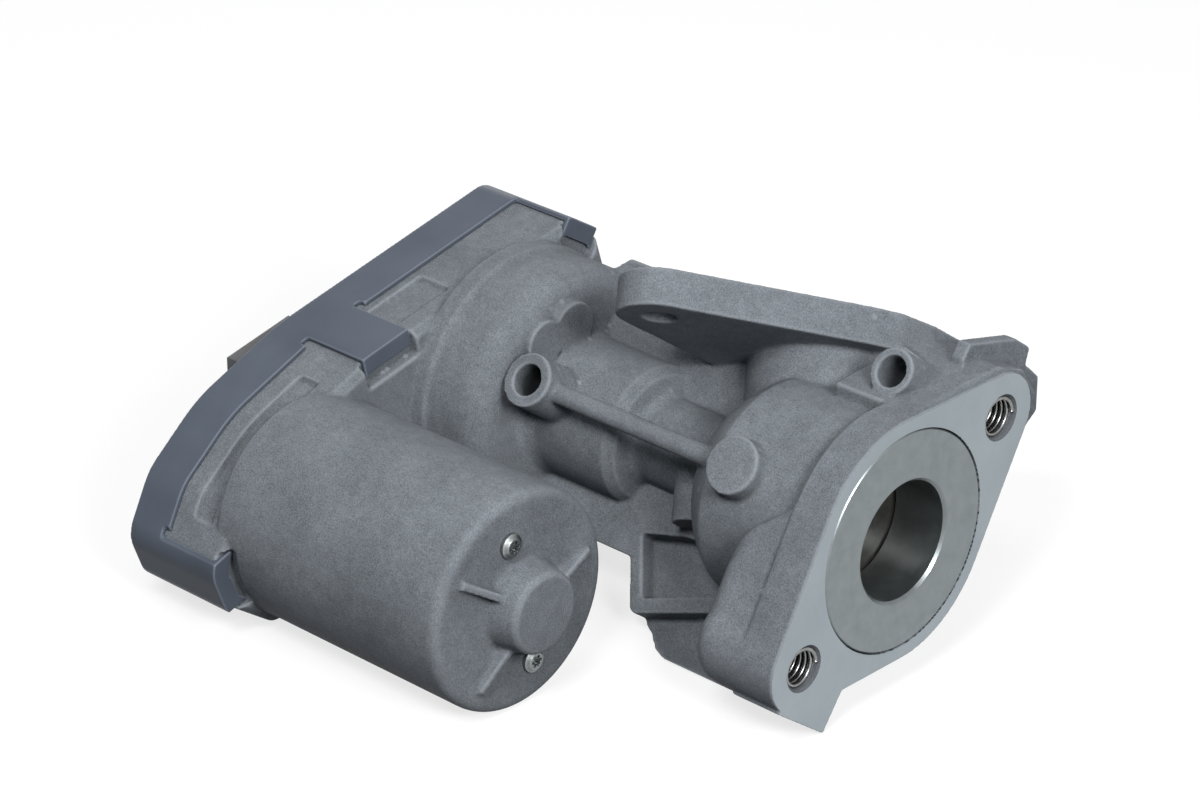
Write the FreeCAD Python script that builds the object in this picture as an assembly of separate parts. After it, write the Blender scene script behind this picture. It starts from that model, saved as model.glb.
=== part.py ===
import FreeCAD, Part
import math
import os
from FreeCAD import Vector

# Exhaust gas recirculation valve, driven by a motor through two gear steps and a cam drum.
# X is the valve axis and points out of the exhaust flange, whose face is X = 0.
# Z is up when the valve lies on a bench, as it does in the photograph. Sizes are in mm.
# The casting is drawn square to its own die, then turned about X into the resting pose.

os.makedirs("parts", exist_ok=True)

# Turn of the die frame about X, and tilt of the gas outlet port inside that frame
rest_turn = 53.6
port_tilt = 22.5

# Clearances
run_gap = 0.04
slide_gap = 0.03
slot_gap = 0.12
seat_gap = 0.10
tooth_backlash = 0.20

# Exhaust flange
flange_thick = 9.5
flange_root_r = 3.5
flange_round_r = 28.0
bolt_half_pitch = 35.6
bolt_turn = 29.5
lobe_r = 10.0
insert_outer_r = 4.7
insert_inner_r = 3.4
insert_length = 9.0
tapped_depth = 10.0
countersink_r = 5.15
foot_w = -43.2
foot_b = -1.4
foot_top_w = -33.9
foot_deep = 13.0
foot_wide = 17.4
lobe_low_deep = 23.2
lobe_low_round = 5.0
flank_inset = 0.6
flank_top = 13.0
flank_slope = 10.0

# Seat ring and poppet
ring_r = 25.0
ring_depth = 9.0
nose_r = 18.0
nose_depth = 15.5
bore_r = 13.4
bore_edge = 0.6
throat_x = -13.4
seat_r = 15.2
disc_r = 16.2
disc_rim = 1.6
disc_neck_r = 4.6
disc_neck_x = -24.0
valve_travel = 7.5

# Valve chamber
chamber_outer_r = 28.0
chamber_waist_r = 24.6
chamber_centre_x = -22.0
chamber_inner_r = 21.0
chamber_front_x = -15.5

# Stem and its guides
stem_r = 3.5
stem_end_x = -119.0
bush_r = 6.0
bush_front_x = -43.5
bush_back_x = -68.0
seal_r = 8.0
seal_front_x = -70.0
seal_back_x = -76.0
seal_lip_r = 3.55

# Neck between chamber and gear housing
neck_thin_r = 9.8
neck_thick_r = 16.0
neck_step_x = -70.0
neck_root_r = 3.0

# Round housing over the cam drum
housing_r = 30.8
housing_ring_r = 31.4
housing_ring_x = -110.0
housing_round = 6.0
housing_front_x = -94.5
housing_inner_r = 25.2
housing_inner_x = -103.0
bearing_pocket_r = 18.0
bearing_pocket_x = -98.8
sleeve_seat_r = 14.0
sleeve_seat_x = -97.0

# Cam drum, drive gear and guide sleeve
drum_r = 19.0
drum_bore_r = 12.0
drum_front_x = -99.2
journal_r = 15.0
journal_back_x = -104.0
sleeve_r = 11.6
sleeve_bore_r = 8.0
sleeve_back_x = -121.0
sleeve_flange = 2.0
cross_pin_r = 1.5
cross_pin_half = 16.9
cross_pin_x = -108.0
roller_r = 2.5
roller_inner = 12.4
roller_outer = 16.4
cam_turn = 90.0
crosshead_half = 6.0
gear_front_x = -126.0
gear_back_x = -133.0
gear_hub_r = 6.5
gear_hub_back_x = -137.0
stem_pocket_r = 5.2
stem_pocket_x = -131.0
spigot_length = 2.0
gear_web = 3.0
gear_rim_r = 20.6
pivot_r = 2.5
pivot_front_x = -133.0
pivot_back_x = -149.5
magnet_long = 3.0

# Gear train
gear_module = 0.8
drive_teeth = 58
idler_small_teeth = 17
idler_large_teeth = 55
pinion_teeth = 22
wheel_addendum = 0.75
pinion_addendum = 0.95
dedendum = 1.2
idler_small_front_x = -125.2
idler_large_front_x = -134.2
idler_large_back_x = -139.2
axle_r = 2.5
axle_front_x = -115.6
axle_back_x = -143.2
axle_boss_r = 4.7
axle_boss_x = -124.6
pinion_front_x = -134.0
pinion_back_x = -141.0
motor_turn = 190.07
motor_distance = 60.7

# Return spring
spring_wire_r = 1.1
spring_mean_r = 22.2
spring_front_x = -104.3
spring_turns = 5.5
spring_pitch = 3.6

# Motor can, part of the casting
can_r = 25.0
can_edge_r = 2.4
can_face_x = -53.0
can_inner_r = 21.5
can_inner_x = -57.5
can_back_x = -119.0
can_boss_base_r = 10.4
can_boss_top_r = 9.2
can_boss_height = 7.5
can_boss_hole_r = 6.6
can_boss_hole_x = -49.5
can_rib_angles = (12.8, 147.7, 233.0)
can_rib_reach = 20.6
can_rib_wide = 1.8
can_rib_high = 3.4
screw_turn = 102.0
screw_pitch_r = 15.0
screw_r = 1.5
screw_head_r = 2.8
screw_head_high = 1.6
screw_length = 9.0

# Motor
yoke_r = 21.2
yoke_wall = 1.3
yoke_back_x = -110.0
yoke_front_x = -58.0
yoke_nose_r = 6.3
yoke_nose_x = -50.0
magnet_inner_r = 15.6
magnet_front_x = -66.0
magnet_back_x = -104.0
magnet_span = 130.0
core_r = 14.8
core_front_x = -70.0
core_back_x = -100.0
core_slots = 12
core_slot_wide = 1.6
core_slot_deep = 6.0
winding_r = 12.4
winding_end = 4.0
shaft_r = 2.5
shaft_front_x = -51.6
shaft_back_x = -141.6
commutator_r = 6.0
commutator_front_x = -104.8
commutator_back_x = -110.6
plate_front_x = -110.0
plate_back_x = -116.6
motor_bearing_r = 5.0
motor_bearing_long = 5.0
brush_wide = 3.4
brush_high = 4.4
brush_outer = 12.0
terminal_wide = 4.0
terminal_thick = 0.8
terminal_offset = 16.0
terminal_back_x = -138.5

# Gear case
case_front_x = -114.5
case_rim_x = -138.0
case_wall = 2.5
case_floor = 3.0
case_chamfer = 1.6
band_sheet = 1.1
band_gap = 0.15
gasket_thick = 0.8
cover_flange = 2.5
dome_back_x = -145.2
dome_wall = 1.6
dome_inset = 3.7
cap_back_x = -150.5
cap_inset = 9.0
cover_step_x = -148.2
recess_deep = 1.2

# Outline of the clamp band's outer surface in Y and Z, from the top corner round by the motor
case_top = (19.8, 32.4)
case_top_left = (-44.0, 18.9)
case_shoulder = (-68.5, 9.3)
case_left_high = (-83.0, -2.6)
case_left = (-89.8, -16.0)
case_left_low = (-86.0, -26.3)
case_bottom_left = (-73.0, -35.6)
case_bottom_right = (12.0, -35.6)
case_right_low = (31.0, -22.0)
case_right = (36.0, 6.0)
case_right_high = (29.8, 26.0)
case_corner_r = 6.0
case_shoulder_r = 34.0

# Clamp band
band_edge_x = -131.5
band_lip_wide = 2.4
clip_reach_x = -115.6
clip_hook = 4.4
low_clip_high_z = -14.6
low_clip_low_z = -27.2
clip_right_y = -30.5
clip_left_y = -44.1
clip_notch = 2.2

# Web, port and mounting plate of the casting, in the die frame
web_thick = 4.5
under_n = 42.0
plate_thick = 8.3
port_t = -27.3
port_b = -7.2
port_r = 17.0
port_bore_r = 12.5
ear_t = -43.5
ear_b = 34.0
ear_r = 9.5
ear_hole_r = 3.5

# Small bosses of the casting, in the die frame
boss_one_x = -87.9
boss_one_w = -0.4
boss_one_top = 27.0
boss_one_r = 6.1
boss_one_hole_r = 3.6
boss_one_depth = 18.0
boss_two_x = -12.2
boss_two_w = 31.2
boss_two_top = 12.0
boss_two_r = 5.2
boss_two_hole_r = 3.5
boss_two_depth = 12.0
pad_x = -27.8
pad_top = 28.6
pad_r = 6.4
rib_r = 2.25
rib_b = 22.5
bracket_thick = 10.0
bracket_pocket_deep = 5.0

# Connector on the cover
connector_y = -14.0
connector_z = -12.0
connector_wide = 27.0
connector_high = 14.0
connector_wall = 1.8
connector_back_x = -168.0
connector_floor_x = -155.0
connector_corner = 3.0
contact_count = 5
contact_pitch = 4.0
contact_wide = 1.5
contact_thick = 0.8
contact_tip_x = -164.5

# Sensor board
board_back_x = -143.4
board_thick = 1.6
board_left = -22.5
board_right = 19.0
board_low = -20.0
board_top = 11.0

drive_pitch_r = drive_teeth * gear_module / 2.0
idler_small_r = idler_small_teeth * gear_module / 2.0
idler_large_r = idler_large_teeth * gear_module / 2.0
pinion_pitch_r = pinion_teeth * gear_module / 2.0
idler_distance = drive_pitch_r + idler_small_r
motor_y = motor_distance * math.cos(math.radians(motor_turn))
motor_z = motor_distance * math.sin(math.radians(motor_turn))
idler_motor = idler_large_r + pinion_pitch_r
idler_bend = math.acos((idler_distance ** 2 + motor_distance ** 2 - idler_motor ** 2)
                       / (2.0 * idler_distance * motor_distance))
idler_turn = motor_turn + math.degrees(idler_bend)
idler_y = idler_distance * math.cos(math.radians(idler_turn))
idler_z = idler_distance * math.sin(math.radians(idler_turn))
motor_from_idler = math.degrees(math.atan2(motor_z - idler_z, motor_y - idler_y))
tilt = math.radians(port_tilt)
X_AXIS = Vector(1, 0, 0)


def rod(radius, x_from, x_to, y=0.0, z=0.0):
    length = abs(x_to - x_from)
    return Part.makeCylinder(radius, length, Vector(min(x_from, x_to), y, z), X_AXIS)


def ring(outer, inner, x_from, x_to, y=0.0, z=0.0):
    low = min(x_from, x_to)
    high = max(x_from, x_to)
    return rod(outer, low, high, y, z).cut(rod(inner, low - 1.0, high + 1.0, y, z))


def spun(points, y=0.0, z=0.0):
    # Solid of revolution about the X direction, from corners given as X and radius
    corners = [Vector(x, r, 0) for x, r in points]
    face = Part.Face(Part.makePolygon(corners + [corners[0]]))
    solid = face.revolve(Vector(0, 0, 0), X_AXIS, 360)
    solid.translate(Vector(0, y, z))
    return solid


def die(shape):
    # Turns a shape drawn in the die frame, where Y is the web and Z is the draw, into the resting pose
    turned = shape.copy()
    turned.rotate(Vector(0, 0, 0), X_AXIS, rest_turn)
    return turned


def port_frame(shape):
    # Takes a shape drawn with X along the plate, Y square to the plate and Z along the draw
    tilted = shape.copy()
    tilted.rotate(Vector(0, 0, 0), Vector(0, 0, 1), port_tilt)
    return die(tilted)


def fuse_all(shapes):
    return shapes[0].multiFuse(shapes[1:]).removeSplitter()


def rounded_wire(points, x):
    # Closed outline in the Y and Z plane, with corners given as Y, Z and corner radius
    count = len(points)
    edges = []
    starts = []
    ends = []
    for i in range(count):
        here = Vector(x, points[i][0], points[i][1])
        before = Vector(x, points[i - 1][0], points[i - 1][1])
        after = Vector(x, points[(i + 1) % count][0], points[(i + 1) % count][1])
        radius = points[i][2]
        back = (before - here).normalize()
        on = (after - here).normalize()
        if radius <= 0.0:
            starts.append(here)
            ends.append(here)
            edges.append(None)
            continue
        half = math.acos(max(-1.0, min(1.0, back.dot(on)))) / 2.0
        step = radius / math.tan(half)
        first = here + back * step
        last = here + on * step
        centre = here + (back + on).normalize() * (radius / math.sin(half))
        middle = centre + (here - centre).normalize() * radius
        starts.append(first)
        ends.append(last)
        edges.append(Part.Arc(first, middle, last).toShape())
    loop = []
    for i in range(count):
        if edges[i] is not None:
            loop.append(edges[i])
        loop.append(Part.LineSegment(ends[i], starts[(i + 1) % count]).toShape())
    return Part.Wire(loop)


def case_points(inset):
    # Corners of the case outline moved inward by the inset, with their corner radii
    corners = [case_top, case_top_left, case_shoulder, case_left_high, case_left, case_left_low,
               case_bottom_left, case_bottom_right, case_right_low, case_right, case_right_high]
    radii = [case_corner_r, case_shoulder_r, case_shoulder_r, 14.0, 8.0, 5.0, 5.0, 12.0, 18.0, 18.0, 4.0]
    count = len(corners)
    moved = []
    for i in range(count):
        px, pz = corners[i]
        ax, az = corners[i - 1]
        bx, bz = corners[(i + 1) % count]
        ux, uz = px - ax, pz - az
        vx, vz = bx - px, bz - pz
        ul = math.hypot(ux, uz)
        vl = math.hypot(vx, vz)
        nux, nuz = uz / ul, -ux / ul
        nvx, nvz = vz / vl, -vx / vl
        if ux * vz - uz * vx > 0:
            nux, nuz, nvx, nvz = -nux, -nuz, -nvx, -nvz
        scale = inset / (1.0 + nux * nvx + nuz * nvz)
        moved.append((px + (nux + nvx) * scale, pz + (nuz + nvz) * scale, max(radii[i] - inset, 0.8)))
    return moved


def case_prism(inset, x_from, x_to):
    wire = rounded_wire(case_points(inset), max(x_from, x_to))
    return Part.Face(wire).extrude(Vector(-abs(x_to - x_from), 0, 0))


def involute_gear(teeth, addendum, x_front, x_back, turn):
    # Straight gear on the X axis, with the middle of one tooth at the turn given in degrees
    pitch_r = teeth * gear_module / 2.0
    base_r = pitch_r * math.cos(math.radians(20.0))
    tip_r = pitch_r + addendum * gear_module
    root_r = pitch_r - dedendum * gear_module
    inv_pitch = math.tan(math.radians(20.0)) - math.radians(20.0)
    half_thick = math.pi / (2.0 * teeth) - tooth_backlash / (4.0 * pitch_r)
    profile = []
    start_r = max(base_r, root_r)
    steps = 5
    for k in range(steps + 1):
        radius = start_r + (tip_r - start_r) * k / steps
        angle = math.acos(min(1.0, base_r / radius))
        inv_here = math.tan(angle) - angle
        profile.append((radius, half_thick + inv_pitch - inv_here))
    root_half = profile[0][1]
    edges = []
    last = None
    first = None
    for tooth in range(teeth):
        mid = math.radians(turn) + tooth * 2.0 * math.pi / teeth
        low_side = [(root_r, mid - root_half)] + [(r, mid - a) for r, a in profile]
        high_side = [(r, mid + a) for r, a in reversed(profile)] + [(root_r, mid + root_half)]
        if root_r >= base_r:
            low_side = low_side[1:]
            high_side = high_side[:-1]
        low_points = [Vector(x_front, r * math.cos(a), r * math.sin(a)) for r, a in low_side]
        high_points = [Vector(x_front, r * math.cos(a), r * math.sin(a)) for r, a in high_side]
        if last is None:
            first = low_points[0]
        else:
            edges.append(Part.LineSegment(last, low_points[0]).toShape())
        for side in (low_points, high_points):
            for p, q in zip(side, side[1:]):
                edges.append(Part.LineSegment(p, q).toShape())
        edges.append(Part.LineSegment(low_points[-1], high_points[0]).toShape())
        last = high_points[-1]
    edges.append(Part.LineSegment(last, first).toShape())
    wire = Part.Wire(Part.__sortEdges__(edges))
    return Part.Face(wire).extrude(Vector(x_back - x_front, 0, 0))


def flat(points, height, base=0.0):
    # Plate drawn from corners in the first two axes, raised along the third
    corners = [Vector(a, b, base) for a, b in points]
    face = Part.Face(Part.makePolygon(corners + [corners[0]]))
    return face.extrude(Vector(0, 0, height))


def upright(radius, height, x, w, base):
    return Part.makeCylinder(radius, height, Vector(x, w, base), Vector(0, 0, 1))


def oval_flange(x_front, thick, inset=0.0):
    # Flange round the bore with a lobe at each bolt, drawn square to the bolts
    half = bolt_half_pitch
    reach = math.acos((flange_round_r - lobe_r) / half)
    big = flange_round_r - inset
    small = lobe_r - inset
    points = []
    for side in (1, -1):
        turn = (0.0 if side > 0 else math.pi)
        points.append((big * math.cos(turn - reach), big * math.sin(turn - reach)))
        points.append((half * side + small * math.cos(turn - reach), small * math.sin(turn - reach)))
        points.append((half * side + small * math.cos(turn), small * math.sin(turn)))
        points.append((half * side + small * math.cos(turn + reach), small * math.sin(turn + reach)))
        points.append((big * math.cos(turn + reach), big * math.sin(turn + reach)))
    v = [Vector(x_front, y, z) for y, z in points]
    top = Vector(x_front, 0, big)
    low = Vector(x_front, 0, -big)
    edges = [
        Part.LineSegment(v[0], v[1]).toShape(),
        Part.Arc(v[1], v[2], v[3]).toShape(),
        Part.LineSegment(v[3], v[4]).toShape(),
        Part.Arc(v[4], top, v[5]).toShape(),
        Part.LineSegment(v[5], v[6]).toShape(),
        Part.Arc(v[6], v[7], v[8]).toShape(),
        Part.LineSegment(v[8], v[9]).toShape(),
        Part.Arc(v[9], low, v[0]).toShape(),
    ]
    return Part.Face(Part.Wire(edges)).extrude(Vector(-thick, 0, 0))


def bolt_place(side):
    turn = math.radians(bolt_turn)
    return side * bolt_half_pitch * math.cos(turn), side * bolt_half_pitch * math.sin(turn)


def polar(radius, degrees, y=0.0, z=0.0):
    return y + radius * math.cos(math.radians(degrees)), z + radius * math.sin(math.radians(degrees))


# Casting: gear case, housing, neck and chamber
case_solid = case_prism(band_sheet + band_gap, case_front_x, case_rim_x)
front_edges = [e for e in case_solid.Edges
               if all(abs(v.X - case_front_x) < 1e-6 for v in e.Vertexes)]
case_solid = case_solid.makeChamfer(case_chamfer, front_edges)

round_end_x = housing_front_x - housing_round
housing = spun([(case_front_x - 1.0, 0), (case_front_x - 1.0, housing_ring_r),
                (housing_ring_x - 1.0, housing_ring_r),
                (housing_ring_x, housing_r), (round_end_x, housing_r),
                (round_end_x + housing_round * 0.38, housing_r - housing_round * 0.08),
                (round_end_x + housing_round * 0.71, housing_r - housing_round * 0.30),
                (round_end_x + housing_round * 0.92, housing_r - housing_round * 0.62),
                (housing_front_x, housing_r - housing_round), (housing_front_x, 0)])
neck = spun([(housing_front_x - 1.0, 0), (housing_front_x - 1.0, neck_thick_r + neck_root_r + 1.0),
             (housing_front_x, neck_thick_r + neck_root_r),
             (housing_front_x + neck_root_r * 0.29, neck_thick_r + neck_root_r * 0.29),
             (housing_front_x + neck_root_r, neck_thick_r),
             (neck_step_x - 1.5, neck_thick_r), (neck_step_x + 0.8, neck_thick_r - 1.6),
             (neck_step_x + 1.6, neck_thin_r + 1.2), (neck_step_x + 3.2, neck_thin_r),
             (chamber_centre_x - chamber_outer_r + 4.0, neck_thin_r),
             (chamber_centre_x - chamber_outer_r + 4.0, 0)])
chamber = Part.makeSphere(chamber_outer_r, Vector(chamber_centre_x, 0, 0))
chamber = chamber.common(rod(chamber_waist_r, chamber_centre_x - chamber_outer_r - 1.0, -2.0))
chamber_front = spun([(chamber_centre_x - 5.0, 0), (chamber_centre_x - 5.0, chamber_waist_r),
                      (-flange_thick - flange_root_r, chamber_waist_r),
                      (-flange_thick - flange_root_r * 0.4, chamber_waist_r + flange_root_r * 0.2),
                      (-flange_thick + flange_root_r * 0.3, flange_round_r - 0.4),
                      (-2.0, flange_round_r - 0.4), (-2.0, 0)])

# Web on the parting plane, from the housing to the chamber, with the foot of the flange
web_points = [(-101.0, 30.0), (-97.0, 34.3), (-86.0, 34.3), (-71.0, 25.8), (-58.0, 25.0), (-20.0, 38.0),
              (-2.0, 34.0),
              (-2.0, -36.0), (-38.6, -30.4), (-56.5, -37.0), (-58.0, -36.4), (-63.6, -26.0), (-101.0, -26.0)]
web = die(flat(web_points, web_thick, -web_thick))
foot = die(Part.makeBox(foot_deep, abs(foot_w) - abs(foot_top_w) + 4.0, foot_wide,
                        Vector(-foot_deep, foot_w, foot_b)))
flange = oval_flange(0.0, flange_thick)


def rounded_back(shape, x, radius):
    edges = [edge for edge in shape.Edges if edge.BoundBox.XMax < x + 0.01]
    return shape.makeFillet(radius, edges)


# Deep lobe behind the lower bolt, and the flank that runs up from it to the chamber
lobe_low = rounded_back(rod(lobe_r, -lobe_low_deep, -2.0, *bolt_place(-1)), -lobe_low_deep, lobe_low_round)
flank = oval_flange(-2.0, lobe_low_deep - 2.3, flank_inset)
flank = rounded_back(flank, -lobe_low_deep + 0.3, lobe_low_round)
flank_back_x = -lobe_low_deep - 1.0
flank_side = [(-1.0, -flank_top), (-flange_thick, -flank_top), (flank_back_x, -flank_top - flank_slope),
              (flank_back_x, -70.0), (-1.0, -70.0)]
flank_side = Part.Face(Part.makePolygon([Vector(x, y, -40.0) for x, y in flank_side + flank_side[:1]]))
flank = flank.common(flank_side.extrude(Vector(0, 0, 80.0)))
for piece in (flange, flank):
    piece.rotate(Vector(0, 0, 0), X_AXIS, bolt_turn)
shoulder_points = [(20.0, 10.0), (24.6, 13.5), (29.0, 8.0), (36.3, -1.6), (42.0, -9.4), (44.0, -18.0),
                   (41.0, -26.0), (25.0, -28.0), (12.0, -8.0)]
shoulder = Part.Face(Part.makePolygon([Vector(-23.0, w, b) for w,
                                       b in shoulder_points + shoulder_points[:1]]))
shoulder = die(shoulder.extrude(Vector(21.0, 0, 0)))
fin_points = [(30.0, -12.0), (40.0, -4.0), (43.8, -4.0), (49.7, -19.0), (49.7, -25.5), (46.0, -26.6),
              (45.2, -33.2),
              (38.7, -37.8), (33.0, -36.0), (28.0, -22.0)]
fin = Part.Face(Part.makePolygon([Vector(-11.0, w, b) for w, b in fin_points + fin_points[:1]]))
fin = die(fin.extrude(Vector(3.4, 0, 0)))

# Gas outlet port and its mounting plate
port_tube = port_frame(Part.makeCylinder(port_r, under_n + 1.0, Vector(port_t, 0, port_b), Vector(0, 1, 0)))
mirror_t = 2.0 * port_t - ear_t
mirror_b = 2.0 * port_b - ear_b


def ear_plate():
    # Two eared plate, drawn as the hull of its ears and its middle, in the plate's own axes
    corners = [(ear_t - ear_r, ear_b), (ear_t + 6.2, ear_b + 7.2), (-9.0, 5.8), (-5.0, -0.6), (-3.0, -10.0)]
    corners = corners + [(2.0 * port_t - t, 2.0 * port_b - b) for t, b in corners]
    points = [Vector(t, under_n, b) for t, b in corners]
    body = Part.Face(Part.makePolygon(points + [points[0]])).extrude(Vector(0, plate_thick, 0))
    shapes = [body]
    for t, b in ((ear_t, ear_b), (mirror_t, mirror_b)):
        shapes.append(Part.makeCylinder(ear_r, plate_thick, Vector(t, under_n, b), Vector(0, 1, 0)))
    return fuse_all(shapes)


plate = port_frame(ear_plate())

# Bracket with its pocket, the thick lower web behind it and the upright lug above it
bracket_points = [(-63.6, -26.0), (-58.0, -36.4), (-56.5, -37.0), (-30.0, -27.2), (-30.0, -12.0),
                  (-67.0, -12.0)]
bracket = die(flat(bracket_points, bracket_thick, -bracket_thick))
pocket_points = [(-63.0, -20.4), (-56.0, -33.2), (-36.0, -25.6), (-36.0, -16.0), (-52.0, -17.4)]
bracket_pocket = die(flat(pocket_points, bracket_pocket_deep, -bracket_pocket_deep))
drop_side = [(-22.0, -11.0), (-22.0, -5.0), (-39.3, -5.0), (-43.0, -0.9), (-43.5, -0.9), (-37.6, -9.0)]
drop = Part.Face(Part.makePolygon([Vector(-60.0, w, b) for w, b in drop_side + drop_side[:1]]))
drop = drop.extrude(Vector(54.0, 0, 0))
drop_outline = [(-57.6, -34.0), (-55.9, -38.0), (-49.0, -42.0), (-42.4, -43.8), (-6.0, -43.8), (-6.0, -20.0),
                (-57.6, -20.0)]
drop = die(drop.common(flat(drop_outline, 13.0, -12.0)))
side_lug = port_frame(Part.makeCylinder(4.4, 14.0, Vector(-50.4, 5.2, 4.4), Vector(0, 1, 0)))

# Bosses along the draw
boss_one = die(upright(boss_one_r, boss_one_top - 6.0, boss_one_x, boss_one_w, 6.0))
boss_two = die(upright(boss_two_r, boss_two_top + 12.0, boss_two_x, boss_two_w, -12.0))
pad = die(upright(pad_r, pad_top - 10.0, pad_x, -0.2, 10.0))
rib = die(Part.makeCylinder(rib_r, pad_x - boss_one_x, Vector(boss_one_x, boss_one_w, rib_b), X_AXIS))
end_lobes = [die(Part.makeCylinder(6.0, 9.0, Vector(-101.0, 14.5, 14.0), X_AXIS)),
             die(Part.makeCylinder(5.4, 9.0, Vector(-101.0, 8.6, 20.6), X_AXIS))]

# Motor can with its end boss and three ribs
can = spun([(can_back_x, 0), (can_back_x, can_r), (can_face_x - can_edge_r, can_r),
            (can_face_x - can_edge_r * 0.62, can_r - can_edge_r * 0.08),
            (can_face_x - can_edge_r * 0.29, can_r - can_edge_r * 0.29),
            (can_face_x - can_edge_r * 0.08, can_r - can_edge_r * 0.62),
            (can_face_x, can_r - can_edge_r), (can_face_x, 0)], motor_y, motor_z)
boss_top_x = can_face_x + can_boss_height
can_boss = spun([(can_face_x - 1.0, 0), (can_face_x - 1.0, can_boss_base_r), (can_face_x, can_boss_base_r),
                 (boss_top_x - 0.8, can_boss_top_r), (boss_top_x, can_boss_top_r - 0.8), (boss_top_x, 0)],
                motor_y, motor_z)


def can_rib(degrees):
    inner_r = can_boss_top_r - 2.0
    points = [Vector(can_face_x - 0.5, inner_r, 0), Vector(can_face_x + can_rib_high + 2.0, inner_r, 0),
              Vector(can_face_x + can_rib_high, can_boss_top_r + 1.0, 0), Vector(can_face_x + 1.0,
                                                                                 can_rib_reach, 0),
              Vector(can_face_x - 0.5, can_rib_reach + 0.4, 0)]
    blade = Part.Face(Part.makePolygon(points + [points[0]])).extrude(Vector(0, 0, can_rib_wide))
    blade.translate(Vector(0, 0, -can_rib_wide / 2.0))
    blade.rotate(Vector(0, 0, 0), X_AXIS, degrees)
    blade.translate(Vector(0, motor_y, motor_z))
    return blade


ribs = [can_rib(degrees) for degrees in can_rib_angles]
solid_parts = [case_solid, housing, neck, chamber, chamber_front, web, foot, flange, lobe_low, flank,
               shoulder, fin, port_tube, plate, bracket, drop, side_lug, boss_one, boss_two,
               pad, rib, can, can_boss]
casting = fuse_all(solid_parts + end_lobes + ribs)
above_plate = port_frame(Part.makeBox(62.0, 14.0, 92.0, Vector(-58.0, under_n + plate_thick, -58.0)))

# Shallow cast recesses in the side wall of the case
side_skin = case_prism(band_sheet + band_gap - 0.2, case_front_x - 6.0, case_rim_x + 6.0)
side_skin = side_skin.cut(case_prism(band_sheet + band_gap + recess_deep, case_front_x, case_rim_x))
slot_cut = side_skin.common(Part.makeBox(5.6, 34.0, 40.0, Vector(-126.8, -86.0, -8.0)))
pad_cut = side_skin.common(Part.makeBox(9.0, 22.0, 40.0, Vector(-129.5, -35.0, 0.0)))

# Pockets in the front of the case that the three clips of the band hook into


def clip_block(place, x_from, x_to, spare, inset_from, inset_to):
    # Block over one clip's width, between two depths below the band's outer surface
    start, end = clip_edges[place]
    span = math.hypot(end[0] - start[0], end[1] - start[1]) + 2.0 * spare
    turn = math.degrees(math.atan2(end[1] - start[1], end[0] - start[0]))
    block = Part.makeBox(abs(x_to - x_from), span, inset_to - inset_from,
                         Vector(min(x_from, x_to), -spare, -inset_to))
    block.rotate(Vector(0, 0, 0), X_AXIS, turn)
    block.translate(Vector(0, start[0], start[1]))
    return block


def on_edge(low, high, share):
    return low[0] + (high[0] - low[0]) * share, low[1] + (high[1] - low[1]) * share


top_span = case_top[0] - case_top_left[0]
left_span = case_left[1] - case_left_low[1]
clip_edges = {
    "middle": (on_edge(case_top_left, case_top, (clip_left_y - case_top_left[0]) / top_span),
               on_edge(case_top_left, case_top, (clip_right_y - case_top_left[0]) / top_span)),
    "right": (on_edge(case_top, case_right_high, 0.05), on_edge(case_top, case_right_high, 0.95)),
    "low": (on_edge(case_left_low, case_left, (low_clip_low_z - case_left_low[1]) / left_span),
            on_edge(case_left_low, case_left, (low_clip_high_z - case_left_low[1]) / left_span)),
}
clip_inner_x = clip_reach_x - band_sheet
clip_pockets = [clip_block(place, case_front_x + 1.0, clip_inner_x - band_gap, 0.8, -2.0, clip_hook + 2.6)
                for place in clip_edges]
clip_backings = [clip_block(place, clip_inner_x - band_gap + 0.5, clip_inner_x - 3.2, 2.5, 1.5,
                            clip_hook + 5.0)
                 for place in clip_edges]

# Hollows of the casting
axle_boss = rod(axle_boss_r, case_front_x - 1.0, axle_boss_x, idler_y, idler_z)
hollow_case = case_prism(case_wall + band_sheet, case_front_x - case_floor, case_rim_x - 5.0)
hollow_case = hollow_case.cut([axle_boss] + clip_backings)
hollows = [
    hollow_case,
    rod(housing_inner_r, housing_inner_x, case_front_x - case_floor - 1.0),
    rod(bearing_pocket_r, bearing_pocket_x, housing_inner_x - 1.0),
    rod(sleeve_seat_r, sleeve_seat_x, bearing_pocket_x - 1.0),
    rod(bush_r, chamber_centre_x, sleeve_seat_x - 1.0),
    rod(seal_r, seal_back_x, seal_front_x),
    Part.makeSphere(chamber_inner_r, Vector(chamber_centre_x, 0, 0)).common(
        rod(chamber_inner_r + 1.0, bush_front_x, chamber_front_x)),
    rod(nose_r, -nose_depth, 1.0),
    rod(ring_r, -ring_depth, 1.0),
    port_frame(Part.makeCylinder(port_bore_r, under_n + plate_thick + 1.0, Vector(port_t, 0, port_b),
                                 Vector(0, 1, 0))),
    rod(can_inner_r, can_inner_x, case_front_x - case_floor - 1.0, motor_y, motor_z),
    rod(can_boss_hole_r, can_boss_hole_x, can_inner_x - 1.0, motor_y, motor_z),
    rod(axle_r, axle_front_x, axle_boss_x - 1.0, idler_y, idler_z),
    die(upright(boss_one_hole_r, boss_one_depth + 1.0, boss_one_x, boss_one_w,
                boss_one_top - boss_one_depth)),
    die(upright(boss_two_hole_r, boss_two_depth + 1.0, boss_two_x, boss_two_w,
                boss_two_top - boss_two_depth)),
    bracket_pocket,
    above_plate,
    slot_cut,
    pad_cut,
]
for t, b in ((ear_t, ear_b), (mirror_t, mirror_b)):
    hollows.append(port_frame(Part.makeCylinder(ear_hole_r, plate_thick + 30.0, Vector(t, under_n - 15.0, b),
                                                Vector(0, 1, 0))))
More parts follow.
